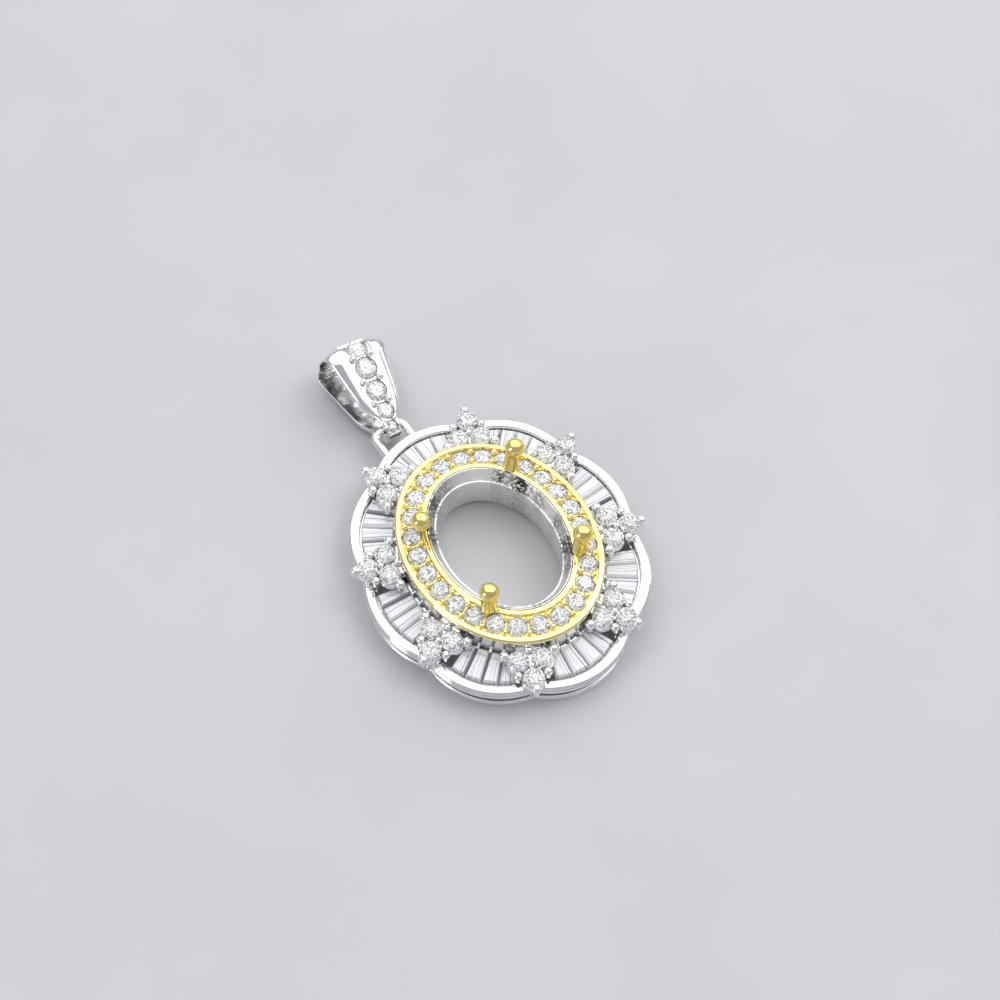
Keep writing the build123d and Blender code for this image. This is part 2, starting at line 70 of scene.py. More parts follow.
# Colours, outlines, tables of sizes, places with their shares, and arcs by three points.
Colour = tuple[float, float, float]
Profile = list[tuple[float, float]]
Rows = tuple[tuple[float, float], ...]
Triples = tuple[tuple[float, float, float], ...]
Places = list[tuple[Matrix, float]]
Arc = tuple[Vector, Vector, Vector]
WHITE: Colour = (1.0, 1.0, 1.0)


class Body(Enum):
    """Rigid bodies that pieces ride on."""

    SETTING = "setting"
    BAIL = "bail"


class Slot(Enum):
    """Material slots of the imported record."""

    WHITE = "white_metal"
    SATIN = "satin_white_metal"
    YELLOW = "yellow_metal"
    STONE = "clear_stone"


class Carve(Enum):
    """Ways in which one closed mesh works on another."""

    JOIN = "UNION"
    CUT = "DIFFERENCE"


class Bench:
    """Puts the nodes of one material together."""

    def __init__(self, name: str) -> None:
        """Start a material with a shader wired to its output.

        Args:
            name: Name of the material.
        """
        self.material = bpy.data.materials.new(name)
        self.material.use_nodes = True
        self.tree = self.material.node_tree
        self.tree.nodes.clear()
        self.shader = self.tree.nodes.new("ShaderNodeBsdfPrincipled")
        output = self.tree.nodes.new("ShaderNodeOutputMaterial")
        self.tree.links.new(self.shader.outputs["BSDF"], output.inputs["Surface"])
        self.place = self.tree.nodes.new("ShaderNodeTexCoord").outputs["Object"]

    def fix(self, **values: float | tuple) -> None:
        """Set the shader's own sockets to constants.

        Args:
            values: Socket names, with underscores for spaces, and their values.
        """
        for name, value in values.items():
            socket = self.shader.inputs[name.replace("_", " ")]
            socket.default_value = (*value, 1.0) if isinstance(value, tuple) else value

    def wire(self, name: str, source: bpy.types.NodeSocket) -> None:
        """Wire a socket into one of the shader's."""
        self.tree.links.new(source, self.shader.inputs[name])

    def noise(self, scale: float, detail: float = 2.0, stretch: Colour = (1, 1, 1)) -> bpy.types.NodeSocket:
        """Cloudy pattern over the object.

        Args:
            scale: Patches to the metre.
            detail: Levels of finer detail.
            stretch: Scale along each axis.

        Returns:
            Strength of the pattern.
        """
        mapping = self.tree.nodes.new("ShaderNodeMapping")
        mapping.inputs["Scale"].default_value = stretch
        self.tree.links.new(self.place, mapping.inputs["Vector"])
        node = self.tree.nodes.new("ShaderNodeTexNoise")
        node.inputs["Scale"].default_value = scale
        node.inputs["Detail"].default_value = detail
        self.tree.links.new(mapping.outputs["Vector"], node.inputs["Vector"])
        return node.outputs["Fac"]

    def attribute(self, name: str) -> bpy.types.NodeSocket:
        """Number that the mesh keeps at its corners under a name.

        Args:
            name: Name of the number.

        Returns:
            The number's socket.
        """
        node = self.tree.nodes.new("ShaderNodeAttribute")
        node.attribute_name = name
        return node.outputs["Fac"]

    def stripes(self, name: str, scale: float) -> bpy.types.NodeSocket:
        """Uneven stripes along a number that the mesh keeps under a name.

        Args:
            name: Name of the number.
            scale: Stripes to the unit.

        Returns:
            Strength of the stripes.
        """
        node = self.tree.nodes.new("ShaderNodeTexNoise")
        node.noise_dimensions = "1D"
        node.inputs["Scale"].default_value = scale
        node.inputs["Detail"].default_value = 2.0
        self.tree.links.new(self.attribute(name), node.inputs["W"])
        return node.outputs["Fac"]

    def ramp(self, source: bpy.types.NodeSocket,
             stops: Sequence[tuple[float, Colour]]) -> bpy.types.NodeSocket:
        """Colours spread over a strength.

        Args:
            source: Strength from 0 to 1.
            stops: Places along the strength and their colours.

        Returns:
            The colour.
        """
        node = self.tree.nodes.new("ShaderNodeValToRGB")
        elements = node.color_ramp.elements
        while len(elements) < len(stops):
            elements.new(1.0)
        for element, (place, colour) in zip(elements, stops):
            element.position = place
            element.color = (*colour, 1.0)
        self.tree.links.new(source, node.inputs["Fac"])
        return node.outputs["Color"]

    def spread(self, source: bpy.types.NodeSocket, low: float, high: float,
               start: float = 0.3, end: float = 0.7) -> bpy.types.NodeSocket:
        """Move a strength's middle part to another range.

        Args:
            source: The strength.
            low: Value where the strength is at or under start.
            high: Value where it is at or over end.
            start: Strength that becomes low.
            end: Strength that becomes high.

        Returns:
            The moved value.
        """
        node = self.tree.nodes.new("ShaderNodeMapRange")
        for name, value in (("From Min", start), ("From Max", end), ("To Min", low), ("To Max", high)):
            node.inputs[name].default_value = value
        self.tree.links.new(source, node.inputs["Value"])
        return node.outputs["Result"]

    def mix(self, share: bpy.types.NodeSocket, first: bpy.types.NodeSocket,
            second: bpy.types.NodeSocket) -> bpy.types.NodeSocket:
        """Blend two colours by a strength.

        Args:
            share: Strength of the second colour.
            first: Colour at strength 0.
            second: Colour at strength 1.

        Returns:
            The blend.
        """
        node = self.tree.nodes.new("ShaderNodeMix")
        node.data_type = "RGBA"
        self.tree.links.new(share, node.inputs["Factor"])
        self.tree.links.new(first, node.inputs[6])
        self.tree.links.new(second, node.inputs[7])
        return node.outputs[2]

    def bump(self, source: bpy.types.NodeSocket, strength: float, depth: float) -> None:
        """Roughen the surface by a strength.

        Args:
            source: Height pattern.
            strength: Share of the effect.
            depth: Depth of the relief in metres.
        """
        node = self.tree.nodes.new("ShaderNodeBump")
        node.inputs["Strength"].default_value = strength
        node.inputs["Distance"].default_value = depth
        self.tree.links.new(source, node.inputs["Height"])
        self.wire("Normal", node.outputs["Normal"])


@dataclass(frozen=True)
class Polish:
    """Polished metal with faint clouding and fine polishing marks."""

    name: str
    slot: Slot
    bright: Colour
    deep: Colour
    smooth: float
    rough: float
    relief: float = 1.2e-6

    def dress(self) -> bpy.types.Material:
        """Make the material.

        Returns:
            The material.
        """
        bench = Bench(self.name)
        bench.fix(Metallic=1.0)
        clouds = bench.noise(1400, 3)
        bench.wire("Base Color", bench.ramp(clouds, ((0.30, self.deep), (0.62, self.bright))))
        bench.wire("Roughness", bench.spread(bench.noise(2600, 4), self.smooth, self.rough))
        bench.bump(bench.noise(3200, 3), 0.35, self.relief)
        return bench.material


@dataclass(frozen=True)
class CastSatin:
    """Satin metal as it was cast, with dark pitted patches where the mesh says so."""

    name: str
    slot: Slot
    bright: Colour
    deep: Colour

    def dress(self) -> bpy.types.Material:
        """Make the material.

        Returns:
            The material.
        """
        bench = Bench(self.name)
        bench.fix(Metallic=1.0)
        scuff = bench.attribute("scuff")
        clean = bench.ramp(bench.noise(900, 3), ((0.3, self.deep), (0.7, self.bright)))
        pits = bench.ramp(bench.noise(5200, 5), ((0.50, (0.01, 0.01, 0.01)), (0.58, (0.90, 0.88, 0.84))))
        bench.wire("Base Color", bench.mix(scuff, clean, pits))
        bench.wire("Roughness", bench.spread(bench.noise(5000, 4), 0.34, 0.50))
        bench.bump(bench.noise(9000, 4), 0.4, 8e-6)
        return bench.material


@dataclass(frozen=True)
class CutStone:
    """Clear cut stone with small milky white speckles, painted sparkle that stands in for the light its
    facets send back.
    """

    name: str
    slot: Slot
    tint: Colour
    shade: Colour
    painted_sparkle_clarity: float
    refraction: float = 2.1

    def dress(self) -> bpy.types.Material:
        """Make the material.

        Returns:
            The material.
        """
        bench = Bench(self.name)
        bench.fix(IOR=self.refraction)
        bench.wire("Base Color", bench.ramp(bench.noise(2400, 2), ((0.35, self.shade), (0.6, self.tint))))
        # Milky white speckles where the noise is high: painted sparkle.
        bench.wire("Transmission Weight", bench.spread(bench.noise(9000, 3), self.painted_sparkle_clarity, 1.0, 0.46, 0.58))
        bench.wire("Roughness", bench.spread(bench.noise(3000, 2), 0.0, 0.03))
        return bench.material


@dataclass(frozen=True)
class StripedStone:
    """Step-cut stone with painted reflections: pale and dark stripes in its colour, from one side of each
    stone to the other, stand in for the light its long facets catch.
    """

    name: str
    slot: Slot
    stops: tuple[tuple[float, Colour], ...]
    clarity: float
    refraction: float = 2.4

    def dress(self) -> bpy.types.Material:
        """Make the material.

        Returns:
            The material.
        """
        bench = Bench(self.name)
        bench.fix(IOR=self.refraction, Transmission_Weight=self.clarity)
        # The stripes are painted facet reflections in the base colour.
        bench.wire("Base Color", bench.ramp(bench.stripes("across", 6.0), self.stops))
        bench.wire("Roughness", bench.spread(bench.noise(3000, 2), 0.0, 0.04))
        return bench.material


@dataclass(frozen=True)
class PaleBoard:
    """Matt pale surface that the pendant lies on."""

    name: str
    bright: Colour
    deep: Colour

    def dress(self) -> bpy.types.Material:
        """Make the material.

        Returns:
            The material.
        """
        bench = Bench(self.name)
        bench.wire("Base Color", bench.ramp(bench.noise(60, 4), ((0.3, self.deep), (0.7, self.bright))))
        bench.wire("Roughness", bench.spread(bench.noise(300, 3), 0.55, 0.7))
        bench.bump(bench.noise(1500, 3), 0.15, 2e-5)
        return bench.material


WHITE_POLISH = Polish("white_polish", Slot.WHITE, (0.95, 0.94, 0.94), (0.86, 0.85, 0.86), 0.08, 0.16)
# Darker, rougher copy of the white metal: painted shade on the bail's recessed panel and inside the stones'
# seats.
WHITE_PAINTED_SHADE = Polish("white_recess", Slot.WHITE, (0.72, 0.71, 0.72), (0.58, 0.57, 0.59), 0.16, 0.28)
WHITE_BEAD = Polish("white_bead", Slot.WHITE, (0.96, 0.96, 0.96), (0.88, 0.88, 0.89), 0.03, 0.07, 1e-6)
YELLOW_POLISH = Polish("yellow_polish", Slot.YELLOW, (1.0, 0.88, 0.46), (0.98, 0.80, 0.35), 0.06, 0.14)
# Darker, more saturated copy of the yellow metal: painted shade on the halo's channel floor, inside its seats
# and on the prongs.
YELLOW_PAINTED_SHADE = Polish("yellow_deep", Slot.YELLOW, (0.98, 0.82, 0.32), (0.92, 0.72, 0.20), 0.12, 0.22)
CAST_SATIN = CastSatin("cast_satin", Slot.SATIN, (0.97, 0.96, 0.95), (0.88, 0.87, 0.86))
ROUND_STONE = CutStone("round_stone", Slot.STONE, (1.0, 1.0, 1.0), (0.97, 0.97, 0.98), 0.15)
# Stops of the painted facet reflections: dark gaps, white and grey stripes.
STEP_STONE = StripedStone("step_stone", Slot.STONE, ((0.37, (0.30, 0.30, 0.34)), (0.40, (0.98, 0.97, 1.0)),
                                                     (0.55, (1.0, 1.0, 1.0)), (0.57, (0.62, 0.61, 0.66)),
                                                     (0.60, (1.0, 0.98, 1.0))), 0.22)
BOARD = PaleBoard("pale_board", (0.56, 0.56, 0.57), (0.53, 0.53, 0.54))
Finish = Polish | CastSatin | CutStone | StripedStone | PaleBoard


@dataclass
class Wardrobe:
    """Makes each finish once and hands it out."""

    made: dict[str, bpy.types.Material] = field(default_factory=dict)

    def get(self, finish: Finish) -> bpy.types.Material:
        """Material of a finish.

        Args:
            finish: The finish.

        Returns:
            The material, made at the first call.
        """
        if finish.name not in self.made:
            self.made[finish.name] = finish.dress()
        return self.made[finish.name]


WARDROBE = Wardrobe()


@dataclass
class Draft:
    """Corners in millimetres and the faces between them, on the way to a mesh."""

    corners: list[Vector] = field(default_factory=list)
    faces: list[tuple[int, ...]] = field(default_factory=list)
    slots: list[int] = field(default_factory=list)

    def face(self, indices: Iterable[int], slot: int = 0) -> None:
        """Add one face."""
        self.faces.append(tuple(indices))
        self.slots.append(slot)

    def skin(self, rings: Sequence[Sequence[Vector]], closed: bool = False,
             slots: Callable[[int], int] = lambda j: 0) -> "Draft":
        """Cover a run of closed rings with equal corner counts.

        Args:
            rings: The rings, in order.
            closed: Join the last ring to the first instead of capping both ends.
            slots: Material index of the strip that starts at a ring's corner.

        Returns:
            This draft.
        """
        base, sides, count = len(self.corners), len(rings[0]), len(rings)
        for ring in rings:
            self.corners.extend(Vector(p) for p in ring)
        for i in range(count if closed else count - 1):
            a, b = base + i * sides, base + (i + 1) % count * sides
            for j in range(sides):
                k = (j + 1) % sides
                self.face((a + j, a + k, b + k, b + j), slots(j))
        if not closed:
            self.face(range(base, base + sides))
            self.face(range(base + (count - 1) * sides, base + count * sides))
        return self

    def lathe(self, profile: Profile, place: Matrix, sides: int = 24) -> "Draft":
        """Turn a profile of radius and height round a place's Z.

        Args:
            profile: Radius and height pairs, bottom to top, off the axis.
            place: Where the piece stands.
            sides: Facets round it.

        Returns:
            This draft.
        """
        rings = [[place @ Vector((r * cos(2 * pi * i / sides), r * sin(2 * pi * i / sides), z))
                  for i in range(sides)] for r, z in profile]
        return self.skin(rings)

    def take(self, other: "Draft", place: Matrix = Matrix.Identity(4)) -> "Draft":
        """Add another draft at a place.

        Args:
            other: The draft to add.
            place: Where it goes.

        Returns:
            This draft.
        """
        base = len(self.corners)
        self.corners.extend(place @ p for p in other.corners)
        for indices, slot in zip(other.faces, other.slots):
            self.face((base + i for i in indices), slot)
        return self

    def mesh(self, name: str, sharp: float = SHARP) -> bpy.types.Mesh:
        """Make a mesh in metres, faces outward.

        Args:
            name: Name of the mesh.
            sharp: Angle in degrees over which an edge stays sharp; 0 leaves all faces flat.

        Returns:
            The mesh.
        """
        mesh = bpy.data.meshes.new(name)
        mesh.from_pydata([p * METRES for p in self.corners], [], self.faces)
        mesh.polygons.foreach_set("material_index", self.slots)
        weld(mesh)
        shade(mesh, sharp)
        return mesh


def weld(mesh: bpy.types.Mesh) -> None:
    """Merge corners in the same spot and turn all faces outward.

    Args:
        mesh: The mesh.
    """
    work = bmesh.new()
    work.from_mesh(mesh)
    bmesh.ops.remove_doubles(work, verts=work.verts, dist=1e-7)
    bmesh.ops.recalc_face_normals(work, faces=work.faces)
    work.to_mesh(mesh)
    work.free()


def shade(mesh: bpy.types.Mesh, sharp: float) -> None:
    """Shade a mesh smooth up to an angle in degrees, or flat for 0.

    Args:
        mesh: The mesh.
        sharp: The angle.
    """
    mesh.polygons.foreach_set("use_smooth", [sharp > 0] * len(mesh.polygons))
    if sharp > 0:
        mesh.set_sharp_from_angle(angle=radians(sharp))


def loose(mesh: bpy.types.Mesh) -> bpy.types.Object:
    """Object round a mesh, in the scene.

    Args:
        mesh: The mesh.

    Returns:
        The object.
    """
    piece = bpy.data.objects.new(mesh.name, mesh)
    bpy.context.scene.collection.objects.link(piece)
    return piece


def settled(piece: bpy.types.Object, name: str) -> bpy.types.Mesh:
    """Plain mesh of a piece with its modifiers worked out; the piece itself goes.

    Args:
        piece: Object with modifiers.
        name: Name of the new mesh.

    Returns:
        The new mesh.
    """
    bpy.context.view_layer.update()
    graph = bpy.context.evaluated_depsgraph_get()
    mesh = bpy.data.meshes.new_from_object(piece.evaluated_get(graph), depsgraph=graph)
    bpy.data.objects.remove(piece)
    mesh.name = name
    return mesh


def carved(first: bpy.types.Mesh, second: bpy.types.Mesh, way: Carve, sharp: float = SHARP) -> bpy.types.Mesh:
    """Join one closed mesh to another or cut it away.

    Args:
        first: Mesh that is worked on.
        second: Mesh that works on it.
        way: Join or cut.
        sharp: Angle in degrees over which an edge stays sharp.

    Returns:
        The new mesh.
    """
    piece, tool = loose(first), loose(second)
    modifier = piece.modifiers.new("carve", "BOOLEAN")
    modifier.operation = way.value
    modifier.solver = "MANIFOLD"
    modifier.object = tool
    mesh = settled(piece, first.name)
    bpy.data.objects.remove(tool)
    shade(mesh, sharp)
    return mesh


def paint(mesh: bpy.types.Mesh, finishes: Sequence[Finish]) -> None:
    """Give a mesh its finishes and keep the material index of each face.

    Args:
        mesh: The mesh.
        finishes: Finishes by material index.
    """
    indices = [min(face.material_index, len(finishes) - 1) for face in mesh.polygons]
    mesh.materials.clear()
    for finish in finishes:
        mesh.materials.append(WARDROBE.get(finish))
    mesh.polygons.foreach_set("material_index", indices)


def seated(metal: bpy.types.Mesh, rooms: Draft, finishes: Sequence[Polish]) -> bpy.types.Mesh:
    """Metal with the stones' spaces cut out, its cut faces in the last finish, a darker copy of the metal:
    painted shade inside the seats.

    Args:
        metal: Mesh of the metal.
        rooms: Spaces of the stones.
        finishes: Finish of the metal and, where it differs, of the cut faces.

    Returns:
        The cut mesh.
    """
    cutter = rooms.mesh("stone_rooms")
    # The cut faces take index 1, the darker finish: painted shade inside the seats.
    cutter.polygons.foreach_set("material_index", [1] * len(cutter.polygons))
    paint(metal, finishes)
    paint(cutter, finishes)
    return carved(metal, cutter, Carve.CUT)


def joined(meshes: Sequence[bpy.types.Mesh], sharp: float = SHARP) -> bpy.types.Mesh:
    """Several closed meshes as one skin.

    Args:
        meshes: The closed meshes.
        sharp: Angle in degrees over which an edge stays sharp.

    Returns:
        The skin.
    """
    whole = meshes[0]
    for mesh in meshes[1:]:
        whole = carved(whole, mesh, Carve.JOIN, sharp)
    return whole


def rounded(corners: Sequence[tuple[float, float, float]], steps: int = 4) -> Profile:
    """Closed outline with its corners eased.

    Args:
        corners: Two coordinates and the easing's reach at each corner.
        steps: Points to a corner, less one.

    Returns:
        The eased outline.
    """
    points = []
    count = len(corners)
    for i, (x, y, reach) in enumerate(corners):
        if reach <= 0:
            points.append((x, y))
            continue
        here = Vector((x, y))
        before = (Vector(corners[i - 1][:2]) - here).normalized() * reach
        after = (Vector(corners[(i + 1) % count][:2]) - here).normalized() * reach
        for step in range(steps + 1):
            t = step / steps
            spot = here + before * (1 - t) ** 2 + after * t ** 2
            points.append((spot.x, spot.y))
    return points


def ball_profile(radius: float, height: float, steps: int = 10) -> Profile:
    """Profile of a ball round a height, bottom to top."""
    turns = [-pi / 2 + pi * (i + 0.15) / (steps + 0.3) for i in range(steps + 1)]
    return [(radius * cos(t), height + radius * sin(t)) for t in turns]


def stemmed_bead(name: str, stem_end: float, neck: float, steps: int, sides: int) -> bpy.types.Mesh:
    """Bead of unit diameter round the origin, on a stem that sinks into the metal under it.

    Args:
        name: Name of the mesh.
        stem_end: Depth of the stem's end.
        neck: Depth where the stem meets the bead.
        steps: Rows of facets from pole to pole.
        sides: Facets round the bead.

    Returns:
        The mesh.
    """
    profile = [(STEM_RADIUS, -stem_end), (STEM_RADIUS, -neck)] + ball_profile(0.5, 0.0, steps)[2:]
    return Draft().lathe(profile, Matrix.Identity(4), sides).mesh(name)


def upright(x: float, y: float, z: float = 0.0, turn: float = 0.0) -> Matrix:
    """Place turned clockwise by degrees from +Y."""
    return Matrix.Translation((x, y, z)) @ Matrix.Rotation(-radians(turn), 4, "Z")


def leaning(origin: Vector, outward: Vector, along: Vector) -> Matrix:
    """Place whose Z points outward and whose X runs along.

    Args:
        origin: Where the place is.
        outward: Direction of its Z.
        along: Direction of its X, square to the first.

    Returns:
        The place.
    """
    z, x = outward.normalized(), along.normalized()
    y = z.cross(x)
    turn = Matrix((x, y, z)).transposed().to_4x4()
    return Matrix.Translation(origin) @ turn


def dressed(mesh: bpy.types.Mesh, finishes: Sequence[Finish], body: Body,
            nodes: Sequence[str]) -> bpy.types.Object:
    """Finished piece: a mesh with its finishes, riding on a body for the nodes that it stands for.

    Args:
        mesh: Mesh of the piece.
        finishes: Finishes by material index.
        body: Body that it rides on.
        nodes: Nodes of the part that it stands for.

    Returns:
        The piece.
    """
    paint(mesh, finishes)
    piece = loose(mesh)
    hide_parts(*nodes)
    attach(piece, body.value)
    return piece


def node_group(name: str, sockets: Iterable[Sequence[str]]) -> tuple[bpy.types.NodeTree, dict[str, str]]:
    """Empty geometry node group with its sockets.

    Args:
        name: Name of the group.
        sockets: Name, way and kind of each socket.

    Returns:
        The group and the identifier of each socket by name.
    """
    group = bpy.data.node_groups.new(name, "GeometryNodeTree")
    made = {socket: group.interface.new_socket(socket, in_out=way, socket_type=f"NodeSocket{kind}")
            for socket, way, kind in sockets}
    return group, {socket: item.identifier for socket, item in made.items()}


class Repeater:
    """Sets copies of a template mesh on many places with geometry nodes."""

    def __init__(self) -> None:
        """Build the node group."""
        self.group, self.identifiers = node_group("set_copies", (
            ("Places", "INPUT", "Geometry"), ("Template", "INPUT", "Object"), ("Size", "INPUT", "Float"),
            ("Finish", "INPUT", "Material"), ("Copies", "OUTPUT", "Geometry")))
        new, link = self.group.nodes.new, self.group.links.new
        entry, leave = new("NodeGroupInput"), new("NodeGroupOutput")
        template, copies = new("GeometryNodeObjectInfo"), new("GeometryNodeInstanceOnPoints")
        turn, share = new("GeometryNodeInputNamedAttribute"), new("GeometryNodeInputNamedAttribute")
        turn.data_type, share.data_type = "FLOAT_VECTOR", "FLOAT"
        turn.inputs["Name"].default_value, share.inputs["Name"].default_value = "turn", "share"
        rotation, product = new("FunctionNodeEulerToRotation"), new("ShaderNodeMath")
        product.operation = "MULTIPLY"
        real, finish = new("GeometryNodeRealizeInstances"), new("GeometryNodeSetMaterial")
        link(entry.outputs["Places"], copies.inputs["Points"])
        link(entry.outputs["Template"], template.inputs["Object"])
        link(template.outputs["Geometry"], copies.inputs["Instance"])
        link(turn.outputs["Attribute"], rotation.inputs["Euler"])
        link(rotation.outputs["Rotation"], copies.inputs["Rotation"])
        link(share.outputs["Attribute"], product.inputs[0])
        link(entry.outputs["Size"], product.inputs[1])
        link(product.outputs["Value"], copies.inputs["Scale"])
        link(copies.outputs["Instances"], real.inputs["Geometry"])
        link(real.outputs["Geometry"], finish.inputs["Geometry"])
        link(entry.outputs["Finish"], finish.inputs["Material"])
        link(finish.outputs["Geometry"], leave.inputs["Copies"])

    def copies(self, name: str, template: bpy.types.Mesh, places: Places,
               finish: Finish, size: float = 1.0) -> bpy.types.Mesh:
        """Plain mesh of a template set on places.

        Args:
            name: Name of the mesh.
            template: Mesh to copy.
            places: Places in millimetres, each with its share of the size.
            finish: Finish of the copies.
            size: Scale of every copy.

        Returns:
            The mesh.
        """
        spots = bpy.data.meshes.new(name)
        spots.from_pydata([place.translation * METRES for place, _ in places], [], [])
        spots.attributes.new("turn", "FLOAT_VECTOR", "POINT")
        spots.attributes.new("share", "FLOAT", "POINT")
        turns = [angle for place, _ in places for angle in place.to_euler("XYZ")]
        spots.attributes["turn"].data.foreach_set("vector", turns)
        spots.attributes["share"].data.foreach_set("value", [share for _, share in places])
        piece, pattern = loose(spots), loose(template)
        modifier = piece.modifiers.new("repeat", "NODES")
        modifier.node_group = self.group
        modifier[self.identifiers["Template"]] = pattern
        modifier[self.identifiers["Size"]] = size
        modifier[self.identifiers["Finish"]] = WARDROBE.get(finish)
        mesh = settled(piece, name)
        bpy.data.objects.remove(pattern)
        for attribute in ("turn", "share"):
            if attribute in mesh.attributes:
                mesh.attributes.remove(mesh.attributes[attribute])
        return mesh


class WireDrawer:
    """Draws round wire along a path with geometry nodes."""

    def __init__(self) -> None:
        """Build the node group."""
        self.group, self.identifiers = node_group("draw_wire", (
            ("Path", "INPUT", "Geometry"), ("Radius", "INPUT", "Float"), ("Sides", "INPUT", "Int"),
            ("Finish", "INPUT", "Material"), ("Wire", "OUTPUT", "Geometry")))
        new, link = self.group.nodes.new, self.group.links.new
        entry, leave = new("NodeGroupInput"), new("NodeGroupOutput")
        curve, section = new("GeometryNodeMeshToCurve"), new("GeometryNodeCurvePrimitiveCircle")
        tube, real = new("GeometryNodeCurveToMesh"), new("GeometryNodeRealizeInstances")
        finish = new("GeometryNodeSetMaterial")
        tube.inputs["Fill Caps"].default_value = True
        link(entry.outputs["Path"], curve.inputs["Mesh"])
        link(entry.outputs["Radius"], section.inputs["Radius"])
        link(entry.outputs["Sides"], section.inputs["Resolution"])
        link(curve.outputs["Curve"], tube.inputs["Curve"])
        link(section.outputs["Curve"], tube.inputs["Profile Curve"])
        link(tube.outputs["Mesh"], real.inputs["Geometry"])
        link(real.outputs["Geometry"], finish.inputs["Geometry"])
        link(entry.outputs["Finish"], finish.inputs["Material"])
        link(finish.outputs["Geometry"], leave.inputs["Wire"])

    def wire(self, name: str, path: Sequence[Vector], radius: float, finish: Polish) -> bpy.types.Mesh:
        """Plain mesh of a wire.

        Args:
            name: Name of the mesh.
            path: Points in millimetres.
            radius: Wire radius in millimetres.
            finish: Finish of the wire.

        Returns:
            The mesh.
        """
        line = bpy.data.meshes.new(name)
        line.from_pydata([p * METRES for p in path], [(i, i + 1) for i in range(len(path) - 1)], [])
        piece = loose(line)
        modifier = piece.modifiers.new("draw", "NODES")
        modifier.node_group = self.group
        modifier[self.identifiers["Radius"]] = radius * METRES
        modifier[self.identifiers["Sides"]] = WIRE_SIDES
        modifier[self.identifiers["Finish"]] = WARDROBE.get(finish)
        mesh = settled(piece, name)
        weld(mesh)
        shade(mesh, 40)
        return mesh


REPEATER = Repeater()
DRAWER = WireDrawer()


@dataclass(frozen=True)
class OvalPlan:
    """Family of ovals round the opening, by their distance outside its edge."""

    width: float = 7.30
    length: float = 9.66
    growth: float = 1.06
    halo_width: float = 1.76
    inner_height: float = 3.42
    edge_height: float = 3.00

    def at(self, step: float, turn: float, height: float = 0.0) -> Vector:
        """Point of an oval.

        Args:
            step: Distance outside the opening's edge.
            turn: Oval angle in radians, from +Y clockwise.
            height: Height of the point.

        Returns:
            The point.
        """
        half_width = self.width / 2 + step
        half_length = self.length / 2 + self.growth * step
        return Vector((half_width * sin(turn), half_length * cos(turn), height))

    def slope(self, step: float) -> float:
        """Height of the halo's top at a step."""
        return self.inner_height - (self.inner_height - self.edge_height) * step / self.halo_width

    def run(self, step: float, count: int = 1440) -> tuple[list[Vector], list[float]]:
        """Points of an oval and the length run up to each.

        Args:
            step: Distance outside the opening's edge.
            count: Number of chords.

        Returns:
            The points and the lengths.
        """
        points = [self.at(step, 2 * pi * i / count) for i in range(count + 1)]
        lengths = [0.0]
        for a, b in zip(points, points[1:]):
            lengths.append(lengths[-1] + (b - a).length)
        return points, lengths

    def spot(self, step: float, length: float) -> tuple[Vector, Vector]:
        """Point and outward direction at a length along an oval.

        Args:
            step: Distance outside the opening's edge.
            length: Length from the +Y end, clockwise.

        Returns:
            The point and the direction.
        """
        points, lengths = self.run(step)
        length = length % lengths[-1]
        index = next(i for i in range(1, len(lengths)) if lengths[i] >= length)
        share = (length - lengths[index - 1]) / (lengths[index] - lengths[index - 1])
        a, b = points[index - 1], points[index]
        along = (b - a).normalized()
        return a + (b - a) * share, Vector((-along.y, along.x, 0))

    def ring(self, profile: Profile, count: int = 288,
             slots: Callable[[int], int] = lambda j: 0) -> Draft:
        """Closed ring with a profile of step and height.

        Args:
            profile: Step and height pairs.
            count: Facets round the ring.
            slots: Material index by profile corner.

        Returns:
            The draft.
        """
        rings = [[self.at(s, 2 * pi * i / count, z) for s, z in profile] for i in range(count)]
        return Draft().skin(rings, closed=True, slots=slots)


